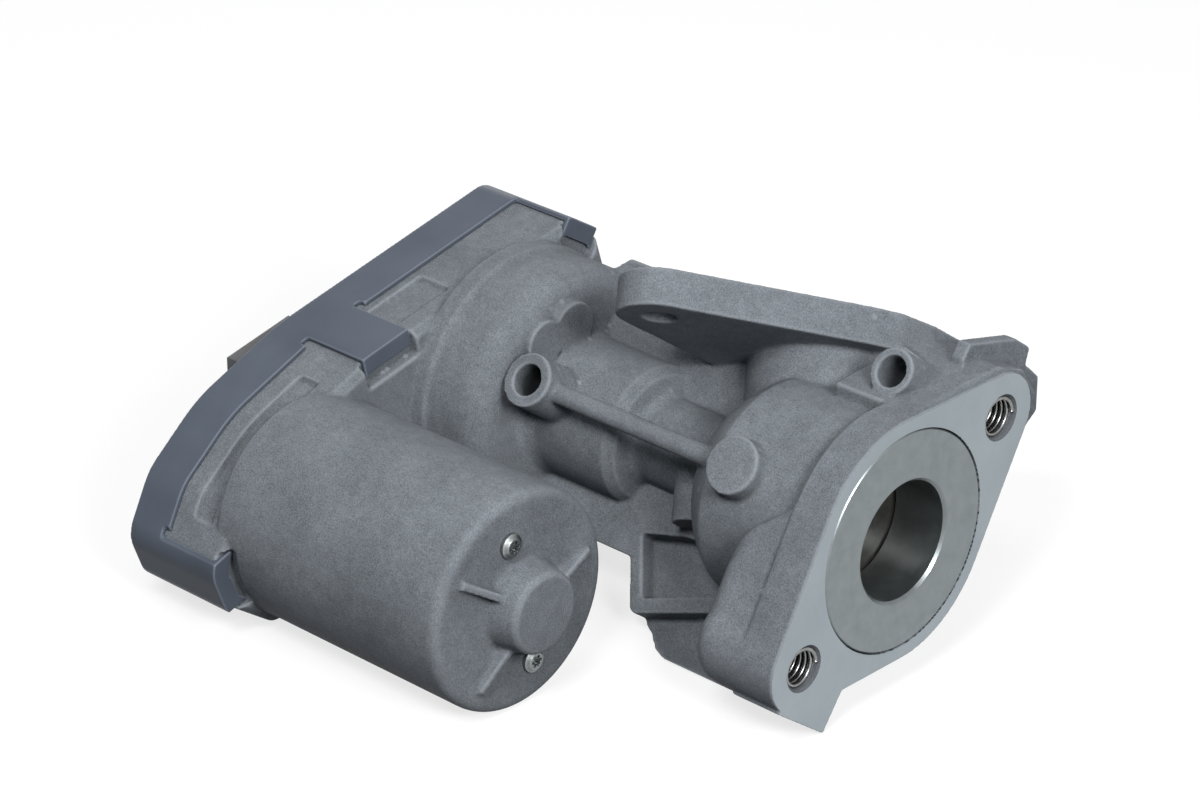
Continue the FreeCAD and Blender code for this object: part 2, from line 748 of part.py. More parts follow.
for side in (1, -1):
    y, z = bolt_place(side)
    hollows.append(rod(insert_outer_r, -tapped_depth, 1.0, y, z))
    hollows.append(spun([(-0.5, 0), (-0.5, insert_outer_r), (0.1, countersink_r + 0.1), (0.1, 0)], y, z))
for side in (0, 180):
    y, z = polar(screw_pitch_r, screw_turn + side, motor_y, motor_z)
    hollows.append(rod(screw_r, can_inner_x - 1.0, can_face_x + 1.0, y, z))

valve_body = casting.cut(hollows + clip_pockets).removeSplitter()
valve_body.exportStep("parts/valve_body.step")

# Seat ring, with a bore that ends in a seat cone
seat_cone_x = throat_x - (seat_r - bore_r)
nose_back_x = min(seat_cone_x, -nose_depth)
nose_cone_r = bore_r + throat_x - nose_back_x
seat_ring = spun([(0.0, bore_r + bore_edge), (0.0, ring_r - 0.6), (-0.35, ring_r - 0.25),
                  (-ring_depth, ring_r - 0.25),
                  (-ring_depth, nose_r), (nose_back_x, nose_r), (nose_back_x, nose_cone_r), (throat_x,
                                                                                             bore_r),
                  (-bore_edge, bore_r)])
seat_ring.exportStep("parts/seat_ring.step")

# Valve disc and stem
disc_front_x = throat_x - 0.5
disc_cone_r = bore_r + (throat_x - disc_front_x) - seat_gap * math.sqrt(2.0)
disc_back_x = disc_front_x - (disc_r - disc_cone_r)
disc_rim_x = disc_back_x - disc_rim
valve_disc = spun([(disc_front_x, 0), (disc_front_x, disc_cone_r), (disc_back_x, disc_r),
                   (disc_rim_x, disc_r),
                   (disc_rim_x - 1.0, disc_r * 0.72), (disc_neck_x + 1.6, disc_neck_r + 2.0),
                   (disc_neck_x, disc_neck_r), (disc_neck_x - 2.0, disc_neck_r), (disc_neck_x - 2.0, stem_r),
                   (disc_rim_x, stem_r), (disc_rim_x, 0)])
valve_disc.exportStep("parts/valve_disc.step")

cross_hole = Part.makeCylinder(cross_pin_r, 40.0, Vector(cross_pin_x, 0, -20.0), Vector(0, 0, 1))
stem_tip = 0.8
valve_stem = spun([(disc_rim_x, 0), (disc_rim_x, stem_r), (stem_end_x + stem_tip, stem_r),
                   (stem_end_x, stem_r - stem_tip), (stem_end_x, 0)])
valve_stem = valve_stem.cut(cross_hole)
valve_stem.exportStep("parts/valve_stem.step")

stem_bush = ring(bush_r, stem_r + slide_gap, bush_front_x, bush_back_x)
stem_bush.exportStep("parts/stem_bush.step")

stem_seal = spun([(seal_front_x, seal_r), (seal_back_x, seal_r), (seal_back_x, seal_r - 1.6),
                  (seal_back_x + 3.6, seal_r - 1.6), (seal_back_x + 3.2, seal_lip_r + 1.0),
                  (seal_back_x + 0.6, seal_lip_r + 0.7), (seal_back_x + 1.2, seal_lip_r),
                  (seal_front_x, seal_lip_r)])
stem_seal.exportStep("parts/stem_seal.step")

# Crosshead on the stem, sliding in the slotted guide sleeve
crosshead = ring(sleeve_bore_r - slide_gap, stem_r, cross_pin_x + crosshead_half,
                 cross_pin_x - crosshead_half)
crosshead = crosshead.cut(cross_hole)
crosshead.exportStep("parts/stem_crosshead.step")

slot_half = cross_pin_r + slot_gap
slot_high_x = cross_pin_x + slot_half
slot_low_x = cross_pin_x - valve_travel - slot_half
guide_slot = Part.makeBox(slot_high_x - slot_low_x, 2.0 * slot_half, 40.0,
                          Vector(slot_low_x, -slot_half, -20.0))
guide_sleeve = ring(sleeve_r, sleeve_bore_r, sleeve_seat_x, sleeve_back_x)
guide_sleeve = guide_sleeve.fuse(ring(sleeve_seat_r, sleeve_bore_r, sleeve_seat_x,
                                      sleeve_seat_x - sleeve_flange))
guide_sleeve = guide_sleeve.cut(guide_slot).removeSplitter()
guide_sleeve.exportStep("parts/guide_sleeve.step")

cross_pin = Part.makeCylinder(cross_pin_r, 2.0 * cross_pin_half, Vector(cross_pin_x, 0, -cross_pin_half),
                              Vector(0, 0, 1))
pin_ends = [e for e in cross_pin.Edges if abs(abs(e.CenterOfMass.z) - cross_pin_half) < 0.01]
cross_pin = cross_pin.makeChamfer(0.3, pin_ends)
cross_pin.exportStep("parts/cross_pin.step")


def follower(side):
    # Round follower pressed on one end of the cross pin
    base = Vector(cross_pin_x, 0, roller_inner * side)
    outer = Part.makeCylinder(roller_r, roller_outer - roller_inner, base, Vector(0, 0, side))
    return outer.cut(Part.makeCylinder(cross_pin_r, 30.0, Vector(cross_pin_x, 0, -15.0 + 15.0 * side),
                                       Vector(0, 0, 1)))


follower(1).exportStep("parts/cam_follower_1.step")
follower(-1).exportStep("parts/cam_follower_2.step")

drum_bearing = ring(bearing_pocket_r, journal_r + run_gap, bearing_pocket_x, housing_inner_x)
drum_bearing.exportStep("parts/drum_bearing.step")

# Cam drum with two helical slots, half a turn apart
cam_pitch = valve_travel * 360.0 / cam_turn
cam_half = roller_r + slot_gap
cam_low_x = cross_pin_x - valve_travel
inner_cut_r = drum_bore_r - 1.0
outer_cut_r = drum_r + 1.5
cam_axial = cam_half / math.cos(math.atan(cam_pitch / (2.0 * math.pi * drum_bore_r)))


def cam_slot(turn):
    # Helical slot cut from inside the bore to outside the drum, long enough for the follower at both ends
    spare_turn = math.degrees(cam_half / roller_inner)
    full_turn = cam_turn + 2.0 * spare_turn
    spare_x = cam_pitch * spare_turn / 360.0
    helix = Part.makeHelix(cam_pitch, cam_pitch * full_turn / 360.0, drum_r)
    section = Part.makePolygon([Vector(inner_cut_r, 0, -cam_axial), Vector(outer_cut_r, 0, -cam_axial),
                                Vector(outer_cut_r, 0, cam_axial), Vector(inner_cut_r, 0, cam_axial),
                                Vector(inner_cut_r, 0, -cam_axial)])
    groove = Part.Wire(helix.Edges).makePipeShell([section], True, True)
    groove.rotate(Vector(0, 0, 0), Vector(0, 1, 0), 90.0)
    groove.rotate(Vector(0, 0, 0), X_AXIS, turn - spare_turn)
    groove.translate(Vector(cam_low_x - spare_x, 0, 0))
    return groove


cam_drum = ring(drum_r, drum_bore_r, journal_back_x, gear_front_x)
cam_drum = cam_drum.fuse(ring(journal_r, drum_bore_r, drum_front_x, journal_back_x)).removeSplitter()
for slot_turn in (90.0, 270.0):
    cam_drum = cam_drum.cut(cam_slot(slot_turn))
cam_drum.exportStep("parts/cam_drum.step")

# Drive gear: toothed rim, thin web, hub and the spigot that carries the drum
drive_gear = involute_gear(drive_teeth, wheel_addendum, gear_front_x, gear_back_x, idler_turn)
drive_gear = drive_gear.cut(ring(gear_rim_r, gear_hub_r + 3.0, gear_front_x - gear_web, gear_back_x - 1.0))
drive_gear = drive_gear.fuse([rod(drum_bore_r, gear_front_x + spigot_length, gear_front_x - 0.5),
                              rod(gear_hub_r, gear_back_x + 1.0, gear_hub_back_x)])
drive_gear = drive_gear.cut([rod(stem_pocket_r, gear_front_x + spigot_length + 1.0, stem_pocket_x),
                             rod(pivot_r + run_gap, pivot_front_x + 0.3,
                                 gear_hub_back_x - 1.0)]).removeSplitter()
drive_gear.exportStep("parts/drive_gear.step")

pivot_pin = rod(pivot_r, pivot_front_x, pivot_back_x)
pivot_pin.exportStep("parts/pivot_pin.step")

magnet_back_face_x = gear_hub_back_x - magnet_long
sensor_magnet = ring(gear_hub_r - 0.1, pivot_r + 0.9, gear_hub_back_x, magnet_back_face_x)
sensor_magnet.exportStep("parts/sensor_magnet.step")


def coil(wire_r, mean_r, pitch, turns, x_start, steps=12):
    # Coil of round wire round the X direction, running toward negative X: short runs joined by tangent arcs
    count = int(round(turns * steps))
    advance = pitch / steps
    turn = 2.0 * math.pi / steps
    points = [Vector(x_start - advance * i, mean_r * math.cos(turn * i), mean_r * math.sin(turn * i))
              for i in range(count + 1)]
    edges = []
    last = points[0]
    for before, corner, after in zip(points, points[1:], points[2:]):
        to_before = (before - corner).normalize()
        to_after = (after - corner).normalize()
        reach = 0.45 * (after - corner).Length
        half = (math.pi - to_before.getAngle(to_after)) / 2.0
        bend_r = reach / math.tan(half)
        inward = (to_before + to_after).normalize()
        start = corner + to_before * reach
        middle = corner + inward * (bend_r / math.cos(half) - bend_r)
        end = corner + to_after * reach
        edges.append(Part.LineSegment(last, start).toShape())
        edges.append(Part.Arc(start, middle, end).toShape())
        last = end
    edges.append(Part.LineSegment(last, points[-1]).toShape())
    section = Part.Wire(Part.makeCircle(wire_r, points[0], (points[1] - points[0]).normalize()))
    return Part.Wire(edges).makePipeShell([section], True, False)


return_spring = coil(spring_wire_r, spring_mean_r, spring_pitch, spring_turns, spring_front_x)
return_spring.exportStep("parts/return_spring.step")

for count, side in ((1, 1), (2, -1)):
    insert = ring(insert_outer_r, insert_inner_r, 0.0, -insert_length, *bolt_place(side))
    insert.exportStep("parts/thread_insert_%d.step" % count)

# Intermediate gear pair on its axle
idler = involute_gear(idler_small_teeth, wheel_addendum, idler_small_front_x, idler_large_front_x - 0.5,
                      idler_turn + 180.0 + 180.0 / idler_small_teeth)
idler_large = involute_gear(idler_large_teeth, wheel_addendum, idler_large_front_x, idler_large_back_x,
                            motor_from_idler)
idler_large = idler_large.cut([ring(idler_large_r - 3.0, idler_small_r + 3.0, idler_large_front_x + 1.0,
                                    idler_large_front_x - 1.4),
                               ring(idler_large_r - 3.0, idler_small_r + 3.0, idler_large_back_x + 1.4,
                                    idler_large_back_x - 1.0)])
idler = idler.fuse(idler_large).cut(rod(axle_r + run_gap, idler_small_front_x + 1.0,
                                        idler_large_back_x - 1.0))
idler = idler.removeSplitter()
idler.translate(Vector(0, idler_y, idler_z))
idler.exportStep("parts/intermediate_gear.step")

idler_axle = rod(axle_r, axle_front_x, axle_back_x, idler_y, idler_z)
idler_axle.exportStep("parts/intermediate_axle.step")

# Motor: yoke, magnets, armature, shaft, bearings and brush gear
screw_places = [polar(screw_pitch_r, screw_turn + side, motor_y, motor_z) for side in (0, 180)]
yoke_inner_r = yoke_r - yoke_wall
nose_inner_x = yoke_nose_x - yoke_wall
yoke = spun([(yoke_back_x, yoke_inner_r), (yoke_back_x, yoke_r), (yoke_front_x, yoke_r),
             (yoke_front_x, yoke_nose_r),
             (yoke_nose_x, yoke_nose_r), (yoke_nose_x, 0), (nose_inner_x, 0), (nose_inner_x, motor_bearing_r),
             (yoke_front_x - yoke_wall, motor_bearing_r), (yoke_front_x - yoke_wall, yoke_inner_r)],
            motor_y, motor_z)
yoke = yoke.cut([rod(screw_r, yoke_front_x + 1.0, yoke_front_x - yoke_wall - 1.0, y, z) for y,
                 z in screw_places])
yoke.exportStep("parts/motor_yoke.step")

for count, (y, z) in enumerate(screw_places, 1):
    head_x = can_face_x + screw_head_high
    screw = spun([(can_face_x, 0), (can_face_x, screw_head_r), (head_x - 0.7, screw_head_r),
                  (head_x, screw_head_r - 1.0), (head_x, 0)])
    screw = screw.fuse(rod(screw_r, can_face_x + 0.1, can_face_x - screw_length)).removeSplitter()
    recess = [rod(0.95, head_x - 1.0, head_x + 1.0)]
    for lobe in range(6):
        ly, lz = polar(1.0, 60.0 * lobe)
        recess.append(rod(0.42, head_x - 1.0, head_x + 1.0, ly, lz))
    screw = screw.cut(recess)
    screw.translate(Vector(0, y, z))
    screw.exportStep("parts/motor_screw_%d.step" % count)

for count, middle in ((1, 90.0), (2, 270.0)):
    shell = ring(yoke_inner_r, magnet_inner_r, magnet_front_x, magnet_back_x)
    reach = yoke_inner_r * 2.5
    sector = [Vector(magnet_front_x + 1.0, 0, 0)]
    for step in (-0.5, -0.25, 0.0, 0.25, 0.5):
        sy, sz = polar(reach, middle + step * magnet_span)
        sector.append(Vector(magnet_front_x + 1.0, sy, sz))
    wedge = Part.Face(Part.makePolygon(sector + [sector[0]])).extrude(
        Vector(magnet_back_x - magnet_front_x - 2.0, 0, 0))
    magnet = shell.common(wedge)
    magnet.translate(Vector(0, motor_y, motor_z))
    magnet.exportStep("parts/motor_magnet_%d.step" % count)

slot_floor_r = core_r - core_slot_deep
core = ring(core_r, shaft_r, core_front_x, core_back_x)
slot_tools = []
wire_bars = []
for number in range(core_slots):
    turn = 360.0 * number / core_slots
    slot = Part.makeBox(core_front_x - core_back_x + 2.0, core_slot_deep + 1.0, core_slot_wide,
                        Vector(core_back_x - 1.0, slot_floor_r, -core_slot_wide / 2.0))
    slot.rotate(Vector(0, 0, 0), X_AXIS, turn)
    slot_tools.append(slot)
    bar = Part.makeBox(core_front_x - core_back_x + 2.0 * winding_end - 0.4, winding_r - slot_floor_r - 0.1,
                       core_slot_wide - 0.1,
                       Vector(core_back_x - winding_end + 0.2, slot_floor_r + 0.1,
                              0.05 - core_slot_wide / 2.0))
    bar.rotate(Vector(0, 0, 0), X_AXIS, turn)
    wire_bars.append(bar)
core = core.cut(slot_tools)
core.translate(Vector(0, motor_y, motor_z))
core.exportStep("parts/armature_core.step")

end_front = ring(winding_r, shaft_r + 1.5, core_front_x, core_front_x + winding_end)
end_back = ring(winding_r, shaft_r + 1.5, core_back_x, core_back_x - winding_end)
winding = end_front.multiFuse([end_back] + wire_bars).removeSplitter()
winding.translate(Vector(0, motor_y, motor_z))
winding.exportStep("parts/armature_winding.step")

commutator = ring(commutator_r, shaft_r, commutator_front_x, commutator_back_x)
gap_tools = []
for number in range(core_slots):
    gap = Part.makeBox(10.0, 2.0, 0.5, Vector(commutator_back_x - 1.0, commutator_r - 0.8, -0.25))
    gap.rotate(Vector(0, 0, 0), X_AXIS, 360.0 * (number + 0.5) / core_slots)
    gap_tools.append(gap)
commutator = commutator.cut(gap_tools)
commutator.translate(Vector(0, motor_y, motor_z))
commutator.exportStep("parts/commutator.step")

motor_shaft = rod(shaft_r, shaft_front_x, shaft_back_x, motor_y, motor_z)
motor_shaft.exportStep("parts/motor_shaft.step")

pinion = involute_gear(pinion_teeth, pinion_addendum, pinion_front_x, pinion_back_x,
                       motor_from_idler + 180.0 + 180.0 / pinion_teeth)
pinion = pinion.cut(rod(shaft_r, pinion_front_x + 1.0, pinion_back_x - 1.0))
pinion.translate(Vector(0, motor_y, motor_z))
pinion.exportStep("parts/motor_pinion.step")

front_bearing_x = nose_inner_x - 0.2
front_bearing = ring(motor_bearing_r, shaft_r + run_gap, front_bearing_x,
                     front_bearing_x - motor_bearing_long,
                     motor_y, motor_z)
front_bearing.exportStep("parts/motor_bearing_front.step")

rear_bearing_x = plate_back_x + 0.6
rear_bearing = ring(motor_bearing_r, shaft_r + run_gap, rear_bearing_x, rear_bearing_x + motor_bearing_long,
                    motor_y, motor_z)
rear_bearing.exportStep("parts/motor_bearing_rear.step")

brush_x = (commutator_front_x + commutator_back_x) / 2.0
brush_low_x = brush_x - brush_wide / 2.0 - 0.4
brush_plate = ring(yoke_r, shaft_r + 1.5, plate_front_x, plate_back_x)
brush_plate = brush_plate.cut([rod(motor_bearing_r, rear_bearing_x + motor_bearing_long, plate_back_x - 1.0),
                               rod(commutator_r + 1.2, plate_front_x + 1.0, commutator_back_x - 0.4)])
boxes = []
channels = []
for side in (1, -1):
    low_z = min(side * (commutator_r + 1.3), side * (brush_outer + 1.6))
    long_z = brush_outer + 1.6 - commutator_r - 1.3
    boxes.append(Part.makeBox(abs(plate_front_x - brush_low_x) + brush_wide + 1.0, brush_high + 2.4, long_z,
                              Vector(plate_front_x - 0.4, -brush_high / 2.0 - 1.2, low_z)))
    channels.append(Part.makeBox(brush_wide + 0.1, brush_high + 0.1, 30.0,
                                 Vector(brush_low_x - 0.05, -brush_high / 2.0 - 0.05, min(0.0, 30.0 * side))))
for side in (1, -1):
    channels.append(Part.makeBox(20.0, terminal_wide, terminal_thick,
                                 Vector(plate_back_x - 1.0, -terminal_wide / 2.0,
                                        side * terminal_offset - terminal_thick / 2.0)))
brush_plate = brush_plate.multiFuse(boxes).cut(channels).removeSplitter()
brush_plate.translate(Vector(0, motor_y, motor_z))
brush_plate.exportStep("parts/brush_plate.step")

for count, side in ((1, 1), (2, -1)):
    reach = commutator_r + 0.05
    low_z = min(side * reach, side * brush_outer)
    brush = Part.makeBox(brush_wide, brush_high, brush_outer - reach,
                         Vector(brush_low_x, -brush_high / 2.0, low_z))
    brush.translate(Vector(0, motor_y, motor_z))
    brush.exportStep("parts/motor_brush_%d.step" % count)
    terminal = Part.makeBox(plate_front_x - terminal_back_x, terminal_wide, terminal_thick,
                            Vector(terminal_back_x, motor_y - terminal_wide / 2.0,
                                   motor_z + side * terminal_offset - terminal_thick / 2.0))
    terminal.exportStep("parts/motor_terminal_%d.step" % count)

# Gasket and plastic cover with its connector
cover_front_x = case_rim_x - gasket_thick
cover_edge = band_sheet + band_gap
gasket = case_prism(cover_edge + 0.35, case_rim_x, cover_front_x)
gasket = gasket.cut(case_prism(cover_edge + case_wall - 0.4, case_rim_x + 1.0, cover_front_x - 1.0))
gasket.exportStep("parts/cover_gasket.step")

cover_flange_x = cover_front_x - cover_flange
step_outer = [(-54.5, 12.3), (-36.0, 16.2), (-36.0, -4.0), (-54.5, -4.0)]


def yz_block(points, x_from, x_to):
    corners = [Vector(x_from, y, z) for y, z in points]
    return Part.Face(Part.makePolygon(corners + [corners[0]])).extrude(Vector(x_to - x_from, 0, 0))


def rounded_box(wide, high, radius, x_from, x_to, y, z):
    corners = [(y - wide / 2.0, z - high / 2.0, radius), (y + wide / 2.0, z - high / 2.0, radius),
               (y + wide / 2.0, z + high / 2.0, radius), (y - wide / 2.0, z + high / 2.0, radius)]
    return Part.Face(rounded_wire(corners, x_from)).extrude(Vector(x_to - x_from, 0, 0))


cap_wall_x = cap_back_x + dome_wall
cover_outer = [case_prism(cover_edge, cover_front_x, cover_flange_x),
               case_prism(dome_inset, cover_flange_x + 0.5, dome_back_x),
               case_prism(cap_inset, dome_back_x + 0.5, cap_back_x),
               yz_block(step_outer, dome_back_x + 0.5, cover_step_x),
               rounded_box(connector_wide, connector_high, connector_corner, cap_back_x + 0.5,
                           connector_back_x,
                           connector_y, connector_z)]
cover = fuse_all(cover_outer)
pillar_places = ((-19.0, -16.0), (15.0, 7.0))
cover_hollow = case_prism(dome_inset + dome_wall, cover_front_x + 1.0, dome_back_x + dome_wall)
cap_hollow = case_prism(cap_inset + dome_wall, dome_back_x + dome_wall + 1.0, cap_wall_x)
keep = [rod(pivot_r + 2.5, board_back_x + 0.2, cap_wall_x - 0.2)]
keep = keep + [rod(2.0, board_back_x, cap_wall_x - 0.2, y, z) for y, z in pillar_places]
axle_socket = ring(axle_r + 2.6, axle_r, idler_large_back_x - 0.6, cap_wall_x - 0.2, idler_y, idler_z)
cap_hollow = cap_hollow.cut(keep + [axle_socket])
cover_hollow = cover_hollow.cut(axle_socket)
cover = cover.cut([cover_hollow, cap_hollow, rod(pivot_r, pivot_front_x, pivot_back_x),
                   rod(axle_r, case_rim_x, axle_back_x, idler_y, idler_z),
                   rounded_box(connector_wide - 2.0 * connector_wall, connector_high - 2.0 * connector_wall,
                               connector_corner - connector_wall, connector_floor_x, connector_back_x - 1.0,
                               connector_y, connector_z)])
contacts = []
for number in range(contact_count):
    middle = connector_y + (number - (contact_count - 1) / 2.0) * contact_pitch
    contacts.append(Part.makeBox(board_back_x - contact_tip_x, contact_wide, contact_thick,
                                 Vector(contact_tip_x, middle - contact_wide / 2.0,
                                        connector_z - contact_thick / 2.0)))
latch = Part.makeBox(8.0, 9.0, 2.2, Vector(connector_back_x + 1.0, connector_y - 4.5,
                                           connector_z + connector_high / 2.0 - 0.4))
cover = cover.fuse(latch).cut(contacts).removeSplitter()
cover.exportStep("parts/gear_cover.step")
for number, contact in enumerate(contacts, 1):
    contact.exportStep("parts/connector_contact_%d.step" % number)

# Position sensor board behind the magnet
board_y = (board_left + board_right) / 2.0
board = rounded_box(board_right - board_left, board_top - board_low, 2.0, board_back_x,
                    board_back_x + board_thick,
                    board_y, (board_top + board_low) / 2.0)
board = board.cut(rod(pivot_r + 0.6, board_back_x - 1.0, board_back_x + board_thick + 1.0))
chip = Part.makeBox(1.2, 5.0, 4.0, Vector(board_back_x + board_thick, 4.0, -2.0))
board = board.fuse(chip).removeSplitter()
board.exportStep("parts/sensor_board.step")

# Sheet metal clamp band round the joint of case and cover
lip_front_x = cover_flange_x - 0.2
lip_back_x = lip_front_x - band_sheet
band = case_prism(0.0, band_edge_x, lip_back_x)
band = band.cut([case_prism(band_sheet, band_edge_x + 1.0, lip_front_x),
                 case_prism(band_sheet + band_lip_wide, band_edge_x + 1.0, lip_back_x - 1.0)])
shell = case_prism(0.0, clip_reach_x, band_edge_x - 0.5)
solid_hooks = shell.cut(case_prism(clip_hook, clip_reach_x + 1.0, band_edge_x - 1.0))
shell = shell.cut(case_prism(band_sheet, clip_reach_x + 1.0, band_edge_x - 1.0))
clips = []
for place in clip_edges:
    clips.append(shell.common(clip_block(place, clip_reach_x, band_edge_x - 0.5, 0.0, -4.0, 6.0)))
    clips.append(solid_hooks.common(clip_block(place, clip_reach_x, clip_inner_x, 0.0, -4.0, 8.0)))


def notch_at(place, share):
    # Small relief at the root of a clip, in the free edge of the band
    start, end = clip_edges[place]
    turn = math.degrees(math.atan2(end[1] - start[1], end[0] - start[0]))
    y, z = on_edge(start, end, share)
    cutter = Part.makeBox(2.6, clip_notch, 6.0, Vector(band_edge_x - 1.6, -clip_notch / 2.0, -4.0))
    cutter.rotate(Vector(0, 0, 0), X_AXIS, turn)
    cutter.translate(Vector(0, y, z))
    return cutter


notches = [notch_at("middle", -0.08), notch_at("middle", 1.08), notch_at("low", 1.08)]
band = fuse_all([band] + clips).cut(notches).removeSplitter()
band.exportStep("parts/clamp_band.step")
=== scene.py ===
import bpy
import math
import numpy as np
from mathutils import Matrix, Vector


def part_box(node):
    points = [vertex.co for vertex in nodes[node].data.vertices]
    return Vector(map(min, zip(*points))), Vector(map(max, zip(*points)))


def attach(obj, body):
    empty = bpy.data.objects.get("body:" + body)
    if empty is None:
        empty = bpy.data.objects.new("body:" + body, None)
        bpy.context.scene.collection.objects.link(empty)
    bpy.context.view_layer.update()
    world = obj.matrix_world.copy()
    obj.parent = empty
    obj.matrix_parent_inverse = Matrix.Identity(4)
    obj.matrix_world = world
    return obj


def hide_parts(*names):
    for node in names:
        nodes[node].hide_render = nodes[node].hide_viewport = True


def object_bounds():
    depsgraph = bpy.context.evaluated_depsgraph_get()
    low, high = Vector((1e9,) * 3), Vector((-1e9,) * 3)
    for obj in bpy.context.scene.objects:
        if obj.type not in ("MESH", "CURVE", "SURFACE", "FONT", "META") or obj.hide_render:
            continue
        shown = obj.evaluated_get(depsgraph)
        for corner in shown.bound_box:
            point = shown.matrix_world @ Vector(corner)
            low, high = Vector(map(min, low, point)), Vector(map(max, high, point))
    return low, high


# Lengths are in metres and colours are linear. The flange face lies at x = 0, and the part behind it.
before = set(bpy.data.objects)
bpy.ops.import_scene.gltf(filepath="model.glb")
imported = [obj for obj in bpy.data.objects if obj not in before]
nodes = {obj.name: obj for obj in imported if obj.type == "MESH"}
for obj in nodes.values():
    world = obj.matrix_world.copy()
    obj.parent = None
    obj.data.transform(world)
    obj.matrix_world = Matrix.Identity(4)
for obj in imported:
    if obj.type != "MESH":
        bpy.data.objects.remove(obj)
cad_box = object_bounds()
scene = bpy.context.scene
scene.view_settings.view_transform = "Standard"

# Camera at the viewing angle of the photograph
CAMERA_RIGHT = Vector((0.72508, 0.68867, 0.0))
CAMERA_UP = Vector((-0.30531, 0.32145, 0.89636))
CAMERA_BACK = Vector((0.61729, -0.64993, 0.44333))
CAMERA_PLACE = Vector((0.49646, -0.61435, 0.42225))
camera = bpy.data.objects.new("camera", bpy.data.cameras.new("camera"))
scene.collection.objects.link(camera)
camera.data.lens = 129.0
camera.data.sensor_width = 36.0
camera.data.clip_start = 0.05
camera.data.clip_end = 30.0
turn = Matrix((CAMERA_RIGHT, CAMERA_UP, CAMERA_BACK)).transposed().to_4x4()
camera.matrix_world = Matrix.Translation(CAMERA_PLACE) @ turn
scene.camera = camera

# Colours of the casting: rough skin, a painted highlight on its edges, painted shade in its hollows and boss
# holes, and the milled flange face
CAST_DARK = (0.106, 0.117, 0.130)
CAST_LIGHT = (0.142, 0.156, 0.172)
CAST_EDGE_HIGHLIGHT = (0.205, 0.223, 0.243)
CAST_HOLLOW_SHADE = (0.05, 0.053, 0.057)
HOLE_SHADE = (0.012, 0.013, 0.014)
FACE_DARK = (0.27, 0.31, 0.335)
FACE_LIGHT = (0.305, 0.345, 0.37)

# Colours of the clamp band with a painted highlight on its edges, and the painted shade of the seat ring
# inside its bore
BAND_DARK = (0.058, 0.068, 0.087)
BAND_LIGHT = (0.074, 0.087, 0.110)
BAND_EDGE_HIGHLIGHT = (0.145, 0.165, 0.195)
BORE_SHADE_COLOUR = (0.085, 0.088, 0.086)

# Values of the noises between which colour and roughness vary
PATCH_SPAN = (0.3, 0.7)
GRAIN_SPAN = (0.25, 0.75)

# Values of Pointiness between which a painted highlight on an edge is drawn in or the painted shade in a
# hollow fades out
CAST_HIGHLIGHT_SPAN = (0.506, 0.536)
CAST_SHADE_SPAN = (0.45, 0.494)
BAND_HIGHLIGHT_SPAN = (0.512, 0.55)
WORN_EDGE_SPAN = (0.53, 0.60)

# Where the casting counts as milled: x of the surface and x of its normal
MILLED_X_SPAN = (-0.00035, -0.0001)
MILLED_FACING_SPAN = (0.75, 0.95)

# The two bosses: the direction of their holes, then the mouth, hole radius and share of painted shade of each
BOSS_AXIS = (0.0, -0.8048938, 0.5934189)
BOSSES = (
    ((-0.0879, -0.0219695, 0.0157004), 0.0036, 0.85),
    ((-0.0122, 0.0088550, 0.0322340), 0.0035, 0.45),
)

# Painted shade in a boss hole: where it grows and where it ends, from the mouth, and how far past the hole it
# fades
BOSS_SHADE_SPAN = (-0.0004, -0.004)
BOSS_END_SPAN = (-0.030, -0.029)
BOSS_WALL_SPAN = (0.0002, 0.0004)

# Bolt holes in the flange: countersink, hole, and the thickness of the turned piece that lines them
RIM_R = 0.00525
RIM_DEPTH = 0.0013
CHAMFER_DEPTH = 0.00050
HOLE_R = 0.0047
HOLE_DEPTH = 0.0094
RIM_WALL = 0.0004
RIM_OVERLAP = 0.0001
RIM_SIDES = 120

# Recess of the seat ring in the flange, and the ring's bore, which has painted shade inside its edge
RECESS_R = 0.0250
RECESS_DEPTH = 0.0085
BORE_R = 0.0136
BORE_FADE = 0.0008
BORE_SHADE = 0.30

# Wire coil of a thread insert
WIRE_R = 0.00048
WIRE_PITCH = 0.00135
WIRE_FLATNESS = 0.85
WIRE_STEPS = 40
WIRE_SIDES = 8

# Remeshed pieces: their grids, the rounds of smoothing, and how far points go onto a circle or the face
CAST_VOXEL = 0.00040
BAND_VOXEL = 0.00024
EVEN_LAPS = 4
FLANK_LAPS = 150
RELAX_STEP = 0.5
SNAP_REACH = 0.0004
FACE_SNAP = 0.00025

# Share of the smoothing that places take: flange face, case, bolt holes, bosses (reach, depth, share), seat
CRISP_SHARE = 0.12
FACE_SKIN = 0.0006
FACE_FADE = 0.0010
CASE_X = -0.100
CASE_SHARE = 0.6
BOLT_ZONE_R = 0.0062
BOLT_ZONE_X = -0.012
BOSS_ZONES = ((0.0066, -0.0020, 0.25), (0.0045, -0.020, 0.15))
SEAT_ZONE_R = 0.0240
SEAT_ZONE_X = -0.030
SEAT_SHARE = 0.3

# Slanting top of the flank: its direction across the flange, then start and fall as (along that direction, x)
FLANK_DIRECTION = (-0.8703557, -0.4924236)
FLANK_START = (0.0130, -0.0095)
FLANK_FALL = (0.0100, 0.0147)
FLANK_REACH = 0.0055
FLANK_FADE = 0.0025
FLANK_FRONT_X = -0.0100
FLANK_FRONT_FADE = 0.0020
FLANK_BACK_X = -0.0300
FLANK_BACK_FADE = 0.0030
FLANK_CLEAR_R = 0.0228

# Floor and surroundings: tone and glow where they are background, and tone and light for every other ray
FLOOR_Z = cad_box[0][2]
FLOOR_HALF = 6.0
FLOOR_SEEN = (0.88, 0.88, 0.88)
FLOOR_GLOW = 0.75
FLOOR_DARK = (0.05, 0.05, 0.053)
WORLD_LIGHT = 0.12

